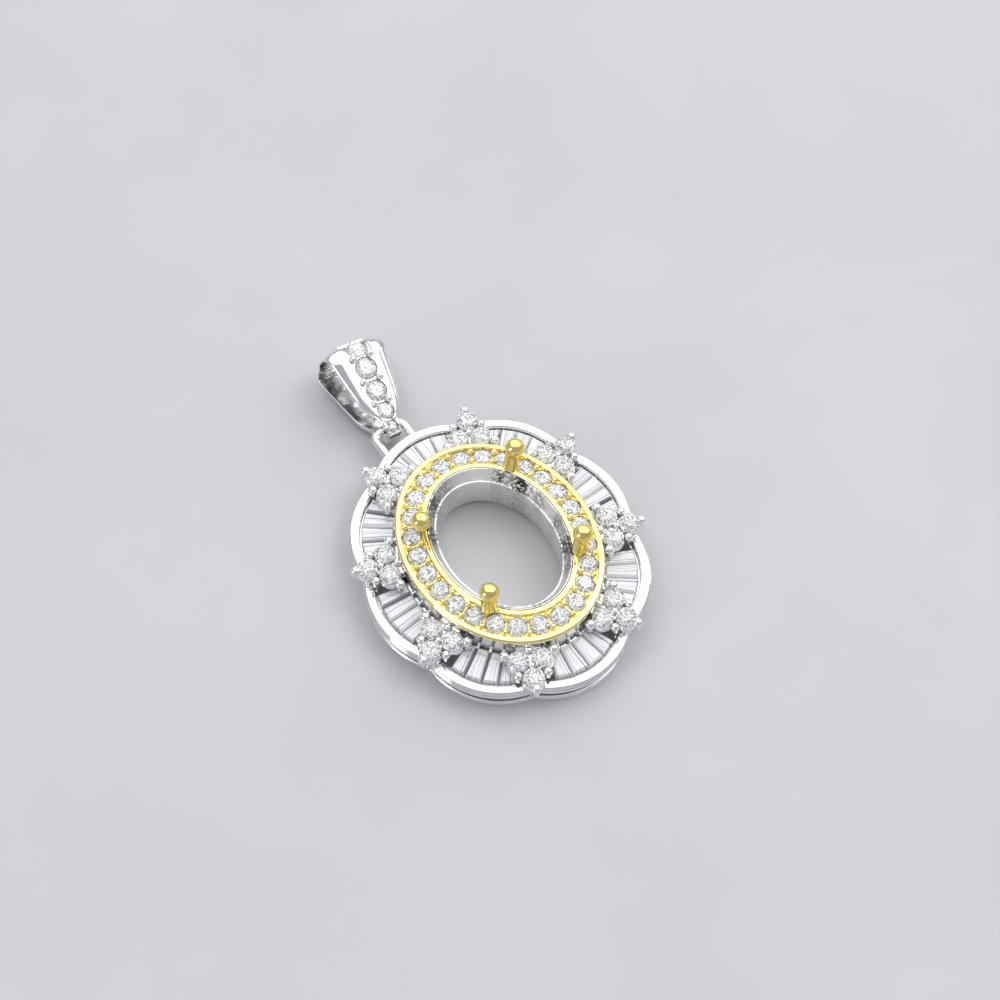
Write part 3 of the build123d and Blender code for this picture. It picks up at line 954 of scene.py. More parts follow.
@dataclass(frozen=True)
class BorderPlan:
    """Scalloped border of eight petals."""

    width: float = 16.10
    length: float = 18.50
    notch_depth: float = 0.50
    first_notch: float = 25.5
    second_notch: float = 68.8

    def notches(self) -> list[float]:
        """Oval angles of the notches in degrees, clockwise from +Y."""
        a, b = self.first_notch, self.second_notch
        return [a, b, 180 - b, 180 - a, 180 + a, 180 + b, 360 - b, 360 - a]

    def at(self, angle: float, inset: float, depth: float = 0.0) -> Vector:
        """Point of the border at an oval angle, moved in by an inset and a notch depth.

        Args:
            angle: Oval angle in degrees, clockwise from +Y.
            inset: Distance inside the border's edge.
            depth: Depth of a notch there.

        Returns:
            The point, at height 0.
        """
        reach = inset + depth
        turn = radians(angle)
        return Vector(((self.width / 2 - reach) * sin(turn), (self.length / 2 - reach) * cos(turn), 0))

    def arcs(self, inset: float) -> list[Arc]:
        """Start, middle and end of each petal's arc at an inset.

        Args:
            inset: Distance inside the border's edge.

        Returns:
            The three points of each arc, clockwise.
        """
        turns = self.notches()
        ends = turns[1:] + [turns[0] + 360]
        depth = self.notch_depth
        return [(self.at(a, inset, depth), self.at((a + b) / 2, inset), self.at(b, inset, depth))
                for a, b in zip(turns, ends)]

    def outline(self, inset: float, count: int) -> list[Vector]:
        """Points of the whole border at an inset.

        Args:
            inset: Distance inside the border's edge.
            count: Points to a petal.

        Returns:
            The points, clockwise.
        """
        points = []
        for arc in self.arcs(inset):
            centre, radius = circle_through(*arc)
            start = atan2(arc[0].y - centre.y, arc[0].x - centre.x)
            sweep = atan2(arc[2].y - centre.y, arc[2].x - centre.x) - start
            sweep = (sweep + pi) % (2 * pi) - pi
            for i in range(count):
                turn = start + sweep * i / count
                points.append(centre + Vector((cos(turn), sin(turn), 0)) * radius)
        return points

    def band(self, profile: Profile, count: int = 40,
             lift: Callable[[float], float] = lambda share: 0.0) -> Draft:
        """Closed band along the border with a profile of inset and height.

        Args:
            profile: Inset and height pairs.
            count: Facets to a petal.
            lift: Rise of the band at a share of the way along a petal.

        Returns:
            The draft.
        """
        lines = {inset: self.outline(inset, count) for inset, _ in profile}
        total = count * len(self.notches())
        rings = [[lines[s][i] + Vector((0, 0, z + lift(i % count / count))) for s, z in profile]
                 for i in range(total)]
        return Draft().skin(rings, closed=True)


def circle_through(a: Vector, b: Vector, c: Vector) -> tuple[Vector, float]:
    """Centre and radius of the circle through three level points.

    Args:
        a: First point.
        b: Second point.
        c: Third point.

    Returns:
        The centre and the radius.
    """
    turn = 2 * (a.x * (b.y - c.y) + b.x * (c.y - a.y) + c.x * (a.y - b.y))
    aa, bb, cc = a.x**2 + a.y**2, b.x**2 + b.y**2, c.x**2 + c.y**2
    centre = Vector(((aa * (b.y - c.y) + bb * (c.y - a.y) + cc * (a.y - b.y)) / turn,
                     (aa * (c.x - b.x) + bb * (a.x - c.x) + cc * (b.x - a.x)) / turn, 0))
    return centre, (a - centre).length


def heading(angle: float) -> Vector:
    """Level direction at an angle in degrees from +Y towards +X."""
    return Vector((sin(radians(angle)), cos(radians(angle)), 0))


OVAL = OvalPlan()
BORDER = BorderPlan()


@dataclass(frozen=True)
class BrilliantCut:
    """Round brilliant of unit diameter, its girdle's lower edge at the origin."""

    table: float = 0.56
    crown: float = 0.16
    girdle: float = 0.03
    pavilion: float = 0.42
    star_radius: float = 0.405
    star_rise: float = 0.52
    lower_radius: float = 0.11
    lower_sink: float = 0.80
    point: float = 0.012

    def corners(self) -> list[Vector]:
        """Corners of all the facets.

        Returns:
            The corners, in diameters of the stone.
        """
        top = self.girdle + self.crown
        rows = ((0.5 * self.table, top, 8, 0.0),
                (self.star_radius, self.girdle + self.crown * self.star_rise, 8, 0.5),
                (0.5, self.girdle, 16, 0.0), (0.5, 0.0, 16, 0.0),
                (self.lower_radius, -self.pavilion * self.lower_sink, 8, 0.0),
                (self.point, -self.pavilion, 8, 0.5))
        return [Vector((r * cos(2 * pi * (i + shift) / n), r * sin(2 * pi * (i + shift) / n), z))
                for r, z, n, shift in rows for i in range(n)]

    def mesh(self, name: str) -> bpy.types.Mesh:
        """Flat-faceted mesh of the stone, one millimetre across.

        Args:
            name: Name of the mesh.

        Returns:
            The mesh.
        """
        work = bmesh.new()
        for corner in self.corners():
            work.verts.new(corner * METRES)
        bmesh.ops.convex_hull(work, input=work.verts)
        bmesh.ops.dissolve_limit(work, angle_limit=0.01, verts=work.verts, edges=work.edges)
        bmesh.ops.recalc_face_normals(work, faces=work.faces)
        mesh = bpy.data.meshes.new(name)
        work.to_mesh(mesh)
        work.free()
        shade(mesh, 0)
        return mesh


@dataclass(frozen=True)
class StoneRoom:
    """Space cut into metal for a round stone and the hole under its point."""

    gap: float = 0.012
    drill: float = 0.38
    play: float = 0.02
    drill_sink: float = 0.03
    mouth: float = 0.4
    mouth_share: float = 0.9

    def draft(self, diameter: float, sides: int = 28) -> Draft:
        """Closed cutter with its stone's girdle at the origin.

        Args:
            diameter: Diameter of the stone.
            sides: Facets round the cutter.

        Returns:
            The draft.
        """
        cut = BrilliantCut()
        radius = diameter / 2 + self.gap
        crown = (cut.girdle + cut.crown) * diameter + self.gap
        drill = diameter * self.drill / 2
        drill_height = -cut.pavilion * diameter * (1 - self.drill) - self.drill_sink
        profile = [(drill, -diameter), (drill, drill_height), (radius, -self.play),
                   (radius, self.play + crown), (radius * self.mouth_share, crown + self.mouth)]
        return Draft().lathe(profile, Matrix.Identity(4), sides)


BRILLIANT = BrilliantCut()
ROOM = StoneRoom()


@dataclass
class PetalBorder:
    """White border: scalloped rims with a ridge under them, and the rail that the pendant lies on."""

    rim_width: float = 0.60
    rim_top: float = 1.65
    rim_bottom: float = 1.10
    ridge_proud: float = 0.07
    ridge_top: float = 1.36
    rail_width: float = 0.46
    rail_height: float = 0.46
    ledge: float = 0.13
    ledge_top: float = 1.27
    face: Triples = ((0.48, -0.015, 0.04), (0.30, 0.01, 0.05), (0.12, -0.015, 0.05), (0.0, -0.07, 0.04))
    groove: float = 0.05

    def rim_profile(self) -> Profile:
        """Inset and height of the rim's eased outline.

        Returns:
            The outline.
        """
        inner, ledge, proud = self.rim_width, self.rim_width + self.ledge, -self.ridge_proud
        face = [(inset, self.rim_top + lift, ease) for inset, lift, ease in self.face]
        return rounded((
            *face, (0.02, self.ridge_top + self.groove, 0.02), (proud, self.ridge_top, 0.05),
            (proud, self.rim_bottom, 0.06), (inner, self.rim_bottom, 0.03),
            (inner, self.ledge_top - 0.15, 0.0), (ledge, self.ledge_top - 0.1, 0.03),
            (ledge, self.ledge_top, 0.03), (inner, self.ledge_top, 0.0),
            (inner - 0.02, self.rim_top - 0.08, 0.04),
        ))

    def rail_profile(self) -> Profile:
        """Inset and height of the rail's eased outline."""
        return rounded(((0.0, 0.0, 0.08), (self.rail_width, 0.0, 0.06),
                        (self.rail_width, self.rail_height, 0.10), (0.0, self.rail_height, 0.16)))

    def build(self) -> None:
        """Make the rims and the rail."""
        rims = BORDER.band(self.rim_profile(), 44)
        dressed(rims.mesh("petal_rims", 38), [WHITE_POLISH], Body.SETTING, ["frame"])
        rail = BORDER.band(self.rail_profile(), 36)
        dressed(rail.mesh("lower_rail", 38), [WHITE_POLISH], Body.SETTING, ["frame"])


@dataclass
class Gallery:
    """White wall that carries the halo, its pierced back plate and the nubs that end the baguettes."""

    step_out: float = 1.71
    wall: float = 0.32
    top: float = 2.70
    plate: float = 0.40
    plate_in: float = -0.39
    azure: float = 0.62
    ledge_out: float = 1.89
    ledge_top: float = 1.27
    nub: float = 0.13
    nub_height: float = 1.55

    def wall_profile(self) -> Profile:
        """Step and height of the wall, with its ledge and the foot that joins the plate.

        Returns:
            The outline.
        """
        step_in = self.step_out - self.wall
        low = self.ledge_top - 0.16
        return rounded((
            (self.step_out, self.top, 0.05), (self.step_out, self.ledge_top, 0.0),
            (self.ledge_out, self.ledge_top, 0.03), (self.ledge_out, low, 0.03), (self.step_out, low, 0.0),
            (self.step_out, 0.05, 0.05), (step_in, 0.05, 0.0), (step_in, self.top, 0.05),
        ))

    def build(self, seats: "StoneLine") -> None:
        """Make the wall, the plate and the nubs.

        Args:
            seats: Line of the halo's stones, over which the plate is pierced.
        """
        wall = OVAL.ring(self.wall_profile()).mesh("gallery_wall", 38)
        dressed(wall, [WHITE_POLISH], Body.SETTING, ["frame"])
        dressed(self.plate_mesh(seats), [WHITE_POLISH], Body.SETTING, ["frame"])
        bead = Draft().lathe(ball_profile(self.nub, 0.0, 8), Matrix.Identity(4), 16).mesh("nub")
        places = [(upright(p.x, p.y, self.nub_height), 1.0) for p in Baguettes().nub_spots()]
        nubs = REPEATER.copies("baguette_nubs", bead, places, WHITE_BEAD)
        dressed(nubs, [WHITE_BEAD], Body.SETTING, ["frame"])

    def plate_mesh(self, seats: "StoneLine") -> bpy.types.Mesh:
        """Back plate, pierced under the halo's stones.

        Args:
            seats: Line of the halo's stones.

        Returns:
            The mesh.
        """
        out = self.step_out - 0.02
        outline = rounded(((out, 0.0, 0.05), (out, self.plate, 0.05),
                           (self.plate_in, self.plate, 0.05), (self.plate_in, 0.0, 0.05)))
        holes = Draft()
        radius = self.azure / 2
        profile = [(radius + 0.08, -0.5), (radius + 0.04, 0.0), (radius, 0.05), (radius, self.plate - 0.04),
                   (radius + 0.05, self.plate + 0.01), (radius + 0.05, 1.0)]
        for length in seats.lengths():
            point, _ = OVAL.spot(seats.step, length)
            holes.lathe(profile, upright(point.x, point.y), 24)
        return carved(OVAL.ring(outline).mesh("back_plate"), holes.mesh("azure_holes"), Carve.CUT)


@dataclass
class Trefoils:
    """Eight seats of three lobes, with their claws and beads, posts and stones."""

    turns: tuple[float, ...] = (0, 120, 240)
    stone_turn: float = 13
    setback: float = 1.01
    lobe_reach: float = 0.757
    stone: float = 1.22
    seat: float = 1.34
    girdle: float = 2.42
    top: float = 2.30
    bottom: float = 1.74
    hub: float = 0.85
    claw_bead: float = 0.58
    outer_reach: float = 1.44
    side_reach: float = 1.58
    notch_bead: float = 0.50
    notch_reach: float = 0.95
    notch_lift: float = 0.06
    centre_bead: float = 0.38
    post: float = 0.70
    cup_low: Rows = ((0.16, 0.0), (0.05, 0.06), (0.0, 0.18))
    cup_high: Rows = ((0.01, 0.24), (0.05, 0.08), (0.10, 0.0))
    post_rows: Rows = ((0.05, 0.0), (0.0, 0.12), (-0.04, 0.9), (0.02, 1.80))
    spoke_width: float = 0.55
    spoke_length: float = 2.42
    spoke_height: float = 0.40
    bridge_length: float = 1.01
    bridge_behind: float = 0.71

    def places(self) -> Places:
        """Place of each seat, its +Y outward, clockwise.

        Returns:
            The places, each with the full size.
        """
        spots = []
        for angle in BORDER.notches():
            centre = BORDER.at(angle, 0, BORDER.notch_depth) - heading(angle) * self.setback
            spots.append((upright(centre.x, centre.y, 0, angle), 1.0))
        return spots

    def cup_profile(self) -> Profile:
        """Radius and height of one lobe's cup.

        Returns:
            The profile, bottom to top.
        """
        radius = self.seat / 2
        low = [(radius - inset, self.bottom + rise) for inset, rise in self.cup_low]
        return low + [(radius - inset, self.top - sink) for inset, sink in self.cup_high]

    def slab(self, width: float, start: float, end: float, bottom: float, top: float) -> Draft:
        """Bar with eased edges along Y.

        Args:
            width: Width across X.
            start: Y of its start.
            end: Y of its end.
            bottom: Height of its underside.
            top: Height of its top.

        Returns:
            The draft.
        """
        section = rounded(((-width / 2, bottom, 0.04), (width / 2, bottom, 0.04),
                           (width / 2, top, 0.05), (-width / 2, top, 0.05)), 3)
        return Draft().skin([[Vector((x, y, z)) for x, z in section] for y in (start, end)])

    def seat_mesh(self) -> bpy.types.Mesh:
        """One seat with its spaces for stones cut out.

        Round parts are turned a little so that no two facets lie in one plane where they are joined.

        Returns:
            The mesh, its +Y outward.
        """
        rooms = Draft()
        hub = self.hub / 2
        parts = [Draft().lathe([(hub, self.bottom), (hub, self.top - 0.03)], upright(0, 0))]
        for turn in self.turns:
            lobe = heading(turn) * self.lobe_reach
            parts.append(Draft().lathe(self.cup_profile(), upright(lobe.x, lobe.y, 0, 1.0 + turn), 36))
            rooms.take(ROOM.draft(self.stone), upright(lobe.x, lobe.y, self.girdle, 0.5))
        behind = -self.bridge_behind
        parts.append(self.slab(self.seat, behind - self.bridge_length / 2, behind + self.bridge_length / 2,
                               self.bottom + 0.01, self.top - 0.02))
        post = self.setback - self.post / 2
        parts.append(Draft().lathe([(self.post / 2 + flare, height) for flare, height in self.post_rows],
                                   upright(0, post, 0, 2.0), 28))
        parts.append(self.slab(self.spoke_width, post - self.spoke_length, post, 0.005,
                               self.spoke_height - 0.01))
        metal = joined([part.mesh("trefoil_part") for part in parts])
        return carved(metal, rooms.mesh("trefoil_rooms"), Carve.CUT)

    def bead_places(self) -> Places:
        """Place and share of each bead on one seat: claws, notch beads and the centre bead.

        Returns:
            The places in the seat's own frame, each with its diameter.
        """
        beads = [(Matrix.Translation((0, 0, self.girdle)), self.centre_bead)]
        for turn in self.turns:
            claw = heading(turn) * (self.side_reach if turn else self.outer_reach)
            between = heading(turn + 60) * self.notch_reach
            beads.append((Matrix.Translation((claw.x, claw.y, self.girdle)), self.claw_bead))
            place = Matrix.Translation((between.x, between.y, self.top + self.notch_lift))
            beads.append((place, self.notch_bead))
        return beads

    def build(self) -> None:
        """Make the seats, beads and stones."""
        seats = REPEATER.copies("trefoil_seats", self.seat_mesh(), self.places(), WHITE_POLISH)
        dressed(seats, [WHITE_POLISH], Body.SETTING, ["frame"])
        bead = stemmed_bead("claw", 1.0, 0.36, 12, 24)
        beads = [(place @ spot, share) for place, _ in self.places() for spot, share in self.bead_places()]
        mesh = REPEATER.copies("trefoil_beads", bead, beads, WHITE_BEAD)
        dressed(mesh, [WHITE_BEAD], Body.SETTING, ["frame"])
        stones = []
        for number, (place, _) in enumerate(self.places()):
            for turn in self.turns:
                lobe = heading(turn) * self.lobe_reach
                spin = self.stone_turn * number + turn
                stones.append((place @ upright(lobe.x, lobe.y, self.girdle, spin), self.stone))
        mesh = REPEATER.copies("trefoil_brilliants", BRILLIANT.mesh("brilliant"), stones, ROUND_STONE)
        dressed(mesh, [ROUND_STONE], Body.SETTING, [f"trefoil_stone_{i:02d}" for i in range(1, 25)])


@dataclass
class Baguettes:
    """Four tapered step-cut stones in each petal."""

    count: int = 4
    pitch: float = 0.74
    gap: float = 0.04
    end_gap: float = 0.04
    wall: float = 1.76
    rim: float = 0.60
    table_height: float = 1.66
    crown: float = 0.20
    girdle: float = 0.06
    pavilion: float = 0.40
    pavilion_steps: Rows = ((0.26, 1.0), (0.15, 0.72), (0.0, 0.0))
    crown_steps: Rows = ((0.0, 0.0), (0.05, 0.62), (0.11, 1.0))
    row_shift: float = 3.7
    stone_shift: float = 1.9

    def petal_start(self, arc: Arc) -> float:
        """Length along the wall oval that faces a petal's middle.

        Args:
            arc: Start, middle and end of the petal's arc.

        Returns:
            The length.
        """
        points, lengths = OVAL.run(self.wall + self.end_gap)
        near = min(range(len(points)), key=lambda i: (points[i] - arc[1]).length)
        return lengths[near]

    def nub_spots(self) -> list[Vector]:
        """Points at the inner ends of the gaps between the stones.

        Returns:
            The points.
        """
        spots = []
        for arc in BORDER.arcs(self.rim):
            middle = self.petal_start(arc)
            for side in range(1, self.count):
                length = middle + (side - self.count / 2) * self.pitch
                spots.append(OVAL.spot(self.wall + self.end_gap, length)[0])
        return spots

    def outline(self, arc: Arc, index: int) -> list[Vector]:
        """Four corners of one stone, before its gap.

        Args:
            arc: Start, middle and end of the petal's arc.
            index: Number of the stone in its row, from 0.

        Returns:
            The corners, anticlockwise.
        """
        centre, radius = circle_through(*arc)
        middle = self.petal_start(arc)
        corners = []
        for side in (index, index + 1):
            length = middle + (side - self.count / 2) * self.pitch
            foot, outward = OVAL.spot(self.wall + self.end_gap, length)
            offset = foot - centre
            half = offset.dot(outward)
            reach = -half + (half**2 - offset.dot(offset) + radius**2) ** 0.5
            corners.append((foot, foot + outward * (reach - self.end_gap)))
        (foot_a, tip_a), (foot_b, tip_b) = corners
        return [foot_a, foot_b, tip_b, tip_a]

    def stone(self, outline: Sequence[Vector]) -> Draft:
        """Step-cut stone over a four-cornered outline.

        Args:
            outline: The four corners.

        Returns:
            The draft.
        """
        top = self.table_height - self.crown
        low = top - self.girdle
        gap = self.gap / 2
        levels = [(gap + inset, low - self.pavilion * share) for inset, share in self.pavilion_steps]
        levels += [(gap + inset, top + self.crown * share) for inset, share in self.crown_steps]
        rings = [[Vector((p.x, p.y, z)) for p in inset_outline(outline, inset)] for inset, z in levels]
        return Draft().skin(rings)

    def build(self) -> None:
        """Make all the stones."""
        for number, arc in enumerate(BORDER.arcs(self.rim), 1):
            row = Draft()
            for index in range(self.count):
                row.take(self.stone(self.outline(arc, index)))
            mesh = row.mesh(f"step_cut_row_{number}", 0)
            self.mark_across(mesh, number)
            dressed(mesh, [STEP_STONE], Body.SETTING, [f"baguette_row_{number}"])

    def mark_across(self, mesh: bpy.types.Mesh, number: int) -> None:
        """Number each stone's corners from side to side, apart from its neighbours, for the painted
        reflection stripes.

        Args:
            mesh: Mesh of one row.
            number: Number of the row.
        """
        across = mesh.attributes.new("across", "FLOAT", "POINT")
        to_stone = len(mesh.vertices) // self.count
        for i in range(len(mesh.vertices)):
            side = 1.0 if i % 4 in (1, 2) else 0.0
            across.data[i].value = self.row_shift * number + i // to_stone * self.stone_shift + side


def inset_outline(points: Sequence[Vector], distance: float) -> list[Vector]:
    """Level outline moved in by the same distance on every side.

    Args:
        points: Corners of the outline, anticlockwise.
        distance: How far each side moves in.

    Returns:
        The moved corners.
    """
    lines = []
    for start, end in zip(points, list(points[1:]) + [points[0]]):
        along = (end - start).normalized()
        lines.append((start + Vector((-along.y, along.x, 0)) * distance, along))
    moved = []
    for i, (q, e) in enumerate(lines):
        p, d = lines[i - 1]
        cross = d.x * e.y - d.y * e.x
        share = ((q.x - p.x) * e.y - (q.y - p.y) * e.x) / cross
        moved.append(p + d * share)
    return moved


@dataclass
class StoneLine:
    """Line of evenly spaced stones round the halo."""

    step: float = 0.84
    count: int = 26
    stone: float = 1.15

    def pitch(self) -> float:
        """Length from one stone to the next."""
        return OVAL.run(self.step)[1][-1] / self.count

    def lengths(self) -> list[float]:
        """Lengths along the line where the stones stand, from the +Y end."""
        return [self.pitch() * index for index in range(self.count)]

    def place(self, length: float, lift: float = 0.0, aside: float = 0.0) -> Matrix:
        """Place on the halo's slope at a length along the line, lifted and moved outwards.

        Args:
            length: Length along the line, from the +Y end.
            lift: Height over the slope.
            aside: Distance moved outwards.

        Returns:
            The place.
        """
        point, outward = OVAL.spot(self.step, length)
        tilt = atan2(OVAL.inner_height - OVAL.edge_height, OVAL.halo_width)
        normal = outward * sin(tilt) + Vector((0, 0, cos(tilt)))
        spot = point + outward * aside
        spot.z = OVAL.slope(self.step + aside)
        return leaning(spot + Vector((0, 0, lift)), normal, Vector((-outward.y, outward.x, 0)))


@dataclass(frozen=True)
class Prong:
    """One ball prong: the gap between stones that it stands at, and where its ball leans to."""

    after: int
    x: float
    y: float


@dataclass
class Halo:
    """Yellow halo: two rims, a channel of stones with beads between them, and four prongs."""

    line: StoneLine
    inner_rim: float = 0.30
    channel: float = 1.08
    flange: float = 2.72
    base: float = 2.50
    base_out: float = 1.36
    depth: float = 0.17
    bead: float = 0.36
    bead_lift: float = -0.05
    prongs: tuple[Prong, ...] = (Prong(3, 3.57, 3.51), Prong(9, 3.46, -3.08), Prong(16, -2.82, -3.01),
                                 Prong(22, -3.35, 2.73))
    foot_step: float = 0.30
    foot_height: float = 3.0
    shaft: float = 0.92
    ball: float = 1.13
    ball_height: float = 4.80
    neck: float = -0.42
    shaft_end: float = -2.16
    file_marks: int = 22
    mark_depth: float = 0.02
    ball_from: float = -48.0
    ball_to: float = 86.0
    ball_steps: int = 12
    stone_turn: float = 29

    def sink(self) -> float:
        """Depth of the stones' girdles under the halo's slope."""
        return (BRILLIANT.girdle + BRILLIANT.crown) * self.line.stone

    def rooms(self) -> Draft:
        """Spaces of all the stones.

        Returns:
            The draft.
        """
        rooms = Draft()
        for length in self.line.lengths():
            rooms.take(ROOM.draft(self.line.stone), self.line.place(length, -self.sink()))
        return rooms

    def ring_mesh(self) -> bpy.types.Mesh:
        """Ring with its seats cut out.

        Returns:
            The mesh.
        """
        first, second = self.inner_rim, self.inner_rim + self.channel
        edge = OVAL.halo_width
        top = OVAL.slope
        profile = rounded((
            (edge, self.flange, 0.03), (edge, top(edge) + 0.02, 0.12),
            (second + 0.03, top(second) + 0.03, 0.10),
            (second, top(second) - self.depth, 0.0), (first, top(first) - self.depth, 0.0),
            (first - 0.02, top(first) + 0.02, 0.06), (0.0, top(0.0), 0.08), (0.0, self.base, 0.03),
            (self.base_out, self.base, 0.03), (self.base_out, self.flange, 0.0),
        ))
        # The channel floor takes the second finish, the darker yellow copy: painted shade in the channel.
        floor_at = next(i for i, (step, height) in enumerate(profile)
                        if abs(step - second) < 1e-6 and height < top(second) - self.depth / 2)
        ring = OVAL.ring(profile, 320, lambda j: 1 if j == floor_at else 0).mesh("halo_ring")
        return seated(ring, self.rooms(), (YELLOW_POLISH, YELLOW_PAINTED_SHADE))

    def bead_places(self) -> Places:
        """Places of the beads between neighbouring stones, with none inside at a prong.

        Returns:
            The places, each with the full size.
        """
        reach = (self.channel - self.bead) / 2
        taken = [prong.after for prong in self.prongs]
        return [(self.line.place(length + self.line.pitch() / 2, self.bead_lift, aside), 1.0)
                for stone, length in enumerate(self.line.lengths())
                for aside in ((reach,) if stone in taken else (-reach, reach))]

    def prong_places(self) -> list[Matrix]:
        """Place of each prong's ball, with -Z down its shaft.

        Returns:
            The places.
        """
        places = []
        for prong in self.prongs:
            point, outward = OVAL.spot(self.line.step, (prong.after + 0.5) * self.line.pitch())
            foot = point + outward * (self.foot_step - self.line.step)
            foot.z = self.foot_height
            tip = Vector((prong.x, prong.y, self.ball_height))
            lean = tip - foot
            places.append(leaning(tip, lean, lean.cross(Vector((0, 1, 0)))))
        return places

    def prong_profile(self) -> Profile:
        """Radius and height of one prong from its ball's middle, its shaft ringed by fine file marks.

        Returns:
            The profile, bottom to top.
        """
        shaft, ball = self.shaft / 2 - self.mark_depth, self.ball / 2
        low, marks = self.shaft_end, self.file_marks
        profile = [(shaft - (self.mark_depth if i % 2 else 0.0), low + (self.neck - low) * i / marks)
                   for i in range(marks + 1)]
        for i in range(self.ball_steps + 1):
            turn = radians(self.ball_from + (self.ball_to - self.ball_from) * i / self.ball_steps)
            profile.append((ball * cos(turn), ball * sin(turn)))
        return profile

    def build(self) -> None:
        """Make the ring, beads, prongs and stones."""
        dressed(self.ring_mesh(), [YELLOW_POLISH, YELLOW_PAINTED_SHADE], Body.SETTING, ["halo"])
        bead = stemmed_bead("bead", 0.8, 0.3, 10, 20)
        beads = REPEATER.copies("halo_beads", bead, self.bead_places(), YELLOW_POLISH, self.bead)
        dressed(beads, [YELLOW_POLISH], Body.SETTING, ["halo"])
        post = Draft().lathe(self.prong_profile(), Matrix.Identity(4), 40).mesh("prong", 50)
        places = [(place, 1.0) for place in self.prong_places()]
        # The prongs take the darker yellow copy all over: painted shade.
        posts = REPEATER.copies("ball_prongs", post, places, YELLOW_PAINTED_SHADE)
        dressed(seated(posts, self.rooms(), (YELLOW_PAINTED_SHADE,)), [YELLOW_PAINTED_SHADE], Body.SETTING, ["halo"])
        stones = []
        for i, length in enumerate(self.line.lengths()):
            spin = Matrix.Rotation(radians(self.stone_turn * i), 4, "Z")
            stones.append((self.line.place(length, -self.sink()) @ spin, self.line.stone))
        mesh = REPEATER.copies("halo_brilliants", BRILLIANT.mesh("brilliant"), stones, ROUND_STONE)
        dressed(mesh, [ROUND_STONE], Body.SETTING, ["halo_stones"])


@dataclass(frozen=True)
class Patch:
    """Pitted patch on the collet's slope: oval turn of its middle in degrees, reach in mm and depth."""

    turn: float
    reach: float
    depth: float


@dataclass
class SeatCollet:
    """Satin collet with the sloping seat of the centre stone."""

    outside: float = -0.03
    inside: float = -0.55
    lip: float = 0.09
    lip_height: float = 2.70
    bottom: float = 0.43
    top: float = 3.39
    notch_gap: float = 0.02
    notch_from: float = -2.22
    notch_to: float = -0.2
    notch_turn: float = 0.7
    long_edge: float = 0.28
    under_lip: float = 0.35
    patch_step: float = -0.25
    patches: tuple[Patch, ...] = (Patch(-30, 0.9, 0.75), Patch(-10, 0.6, 0.45), Patch(44, 0.5, 0.9),
                                  Patch(62, 0.9, 1.0), Patch(80, 0.6, 0.6), Patch(-58, 0.8, 0.9),
                                  Patch(103, 0.6, 0.6), Patch(122, 0.9, 0.9), Patch(140, 0.5, 0.6),
                                  Patch(-140, 0.6, 0.6), Patch(-170, 0.8, 0.5))

    def profile(self) -> Profile:
        """Step and height of the collet's eased outline.

        Returns:
            The outline.
        """
        return rounded((
            (self.outside, self.bottom, 0.04), (self.outside, self.top, 0.02),
            (self.outside - 0.06, self.top, 0.02), (self.inside + self.lip, self.lip_height, 0.02),
            (self.inside, self.lip_height, 0.025), (self.inside, self.bottom, 0.04),
        ), 3)

    def nearness(self, spot: Vector, patch: Patch) -> float:
        """Strength of a patch at a point, from 1 at its middle down to 0, and less under the lip.

        Args:
            spot: The point, in millimetres.
            patch: The patch.

        Returns:
            The strength.
        """
        middle = OVAL.at(self.patch_step, radians(patch.turn))
        away = hypot(spot.x - middle.x, spot.y - middle.y)
        strength = exp(-(away / patch.reach) ** 2)
        return strength if spot.z > self.lip_height - 0.02 else strength * self.under_lip

    def refine(self, mesh: bpy.types.Mesh) -> None:
        """Cut the long edges so that the patches have corners to lie on.

        Args:
            mesh: Mesh of the collet.
        """
        work = bmesh.new()
        work.from_mesh(mesh)
        bmesh.ops.triangulate(work, faces=[f for f in work.faces if len(f.verts) > 4])
        long_edges = [e for e in work.edges if e.calc_length() > self.long_edge * METRES]
        bmesh.ops.subdivide_edges(work, edges=long_edges, cuts=2, use_grid_fill=True)
        work.to_mesh(mesh)
        work.free()

    def scuff(self, mesh: bpy.types.Mesh) -> None:
        """Keep the patches' strength at each corner of the mesh.

        Args:
            mesh: Mesh of the collet.
        """
        strengths = mesh.attributes.new("scuff", "FLOAT", "POINT")
        for i, vertex in enumerate(mesh.vertices):
            spot = vertex.co / METRES
            strengths.data[i].value = max(patch.depth * self.nearness(spot, patch) for patch in self.patches)

    def build(self, halo: Halo) -> None:
        """Make the collet, notched for the prongs.

        Args:
            halo: The halo, whose prongs pass the collet.
        """
        notches = Draft()
        radius = halo.shaft / 2 + self.notch_gap
        for place in halo.prong_places():
            notches.lathe([(radius, self.notch_from), (radius, self.notch_to)],
                          place @ upright(0, 0, 0, self.notch_turn), 40)
        mesh = OVAL.ring(self.profile(), 320).mesh("seat_collet")
        mesh = carved(mesh, notches.mesh("prong_notches"), Carve.CUT)
        self.refine(mesh)
        self.scuff(mesh)
        shade(mesh, SHARP)
        dressed(mesh, [CAST_SATIN], Body.SETTING, ["collet"])


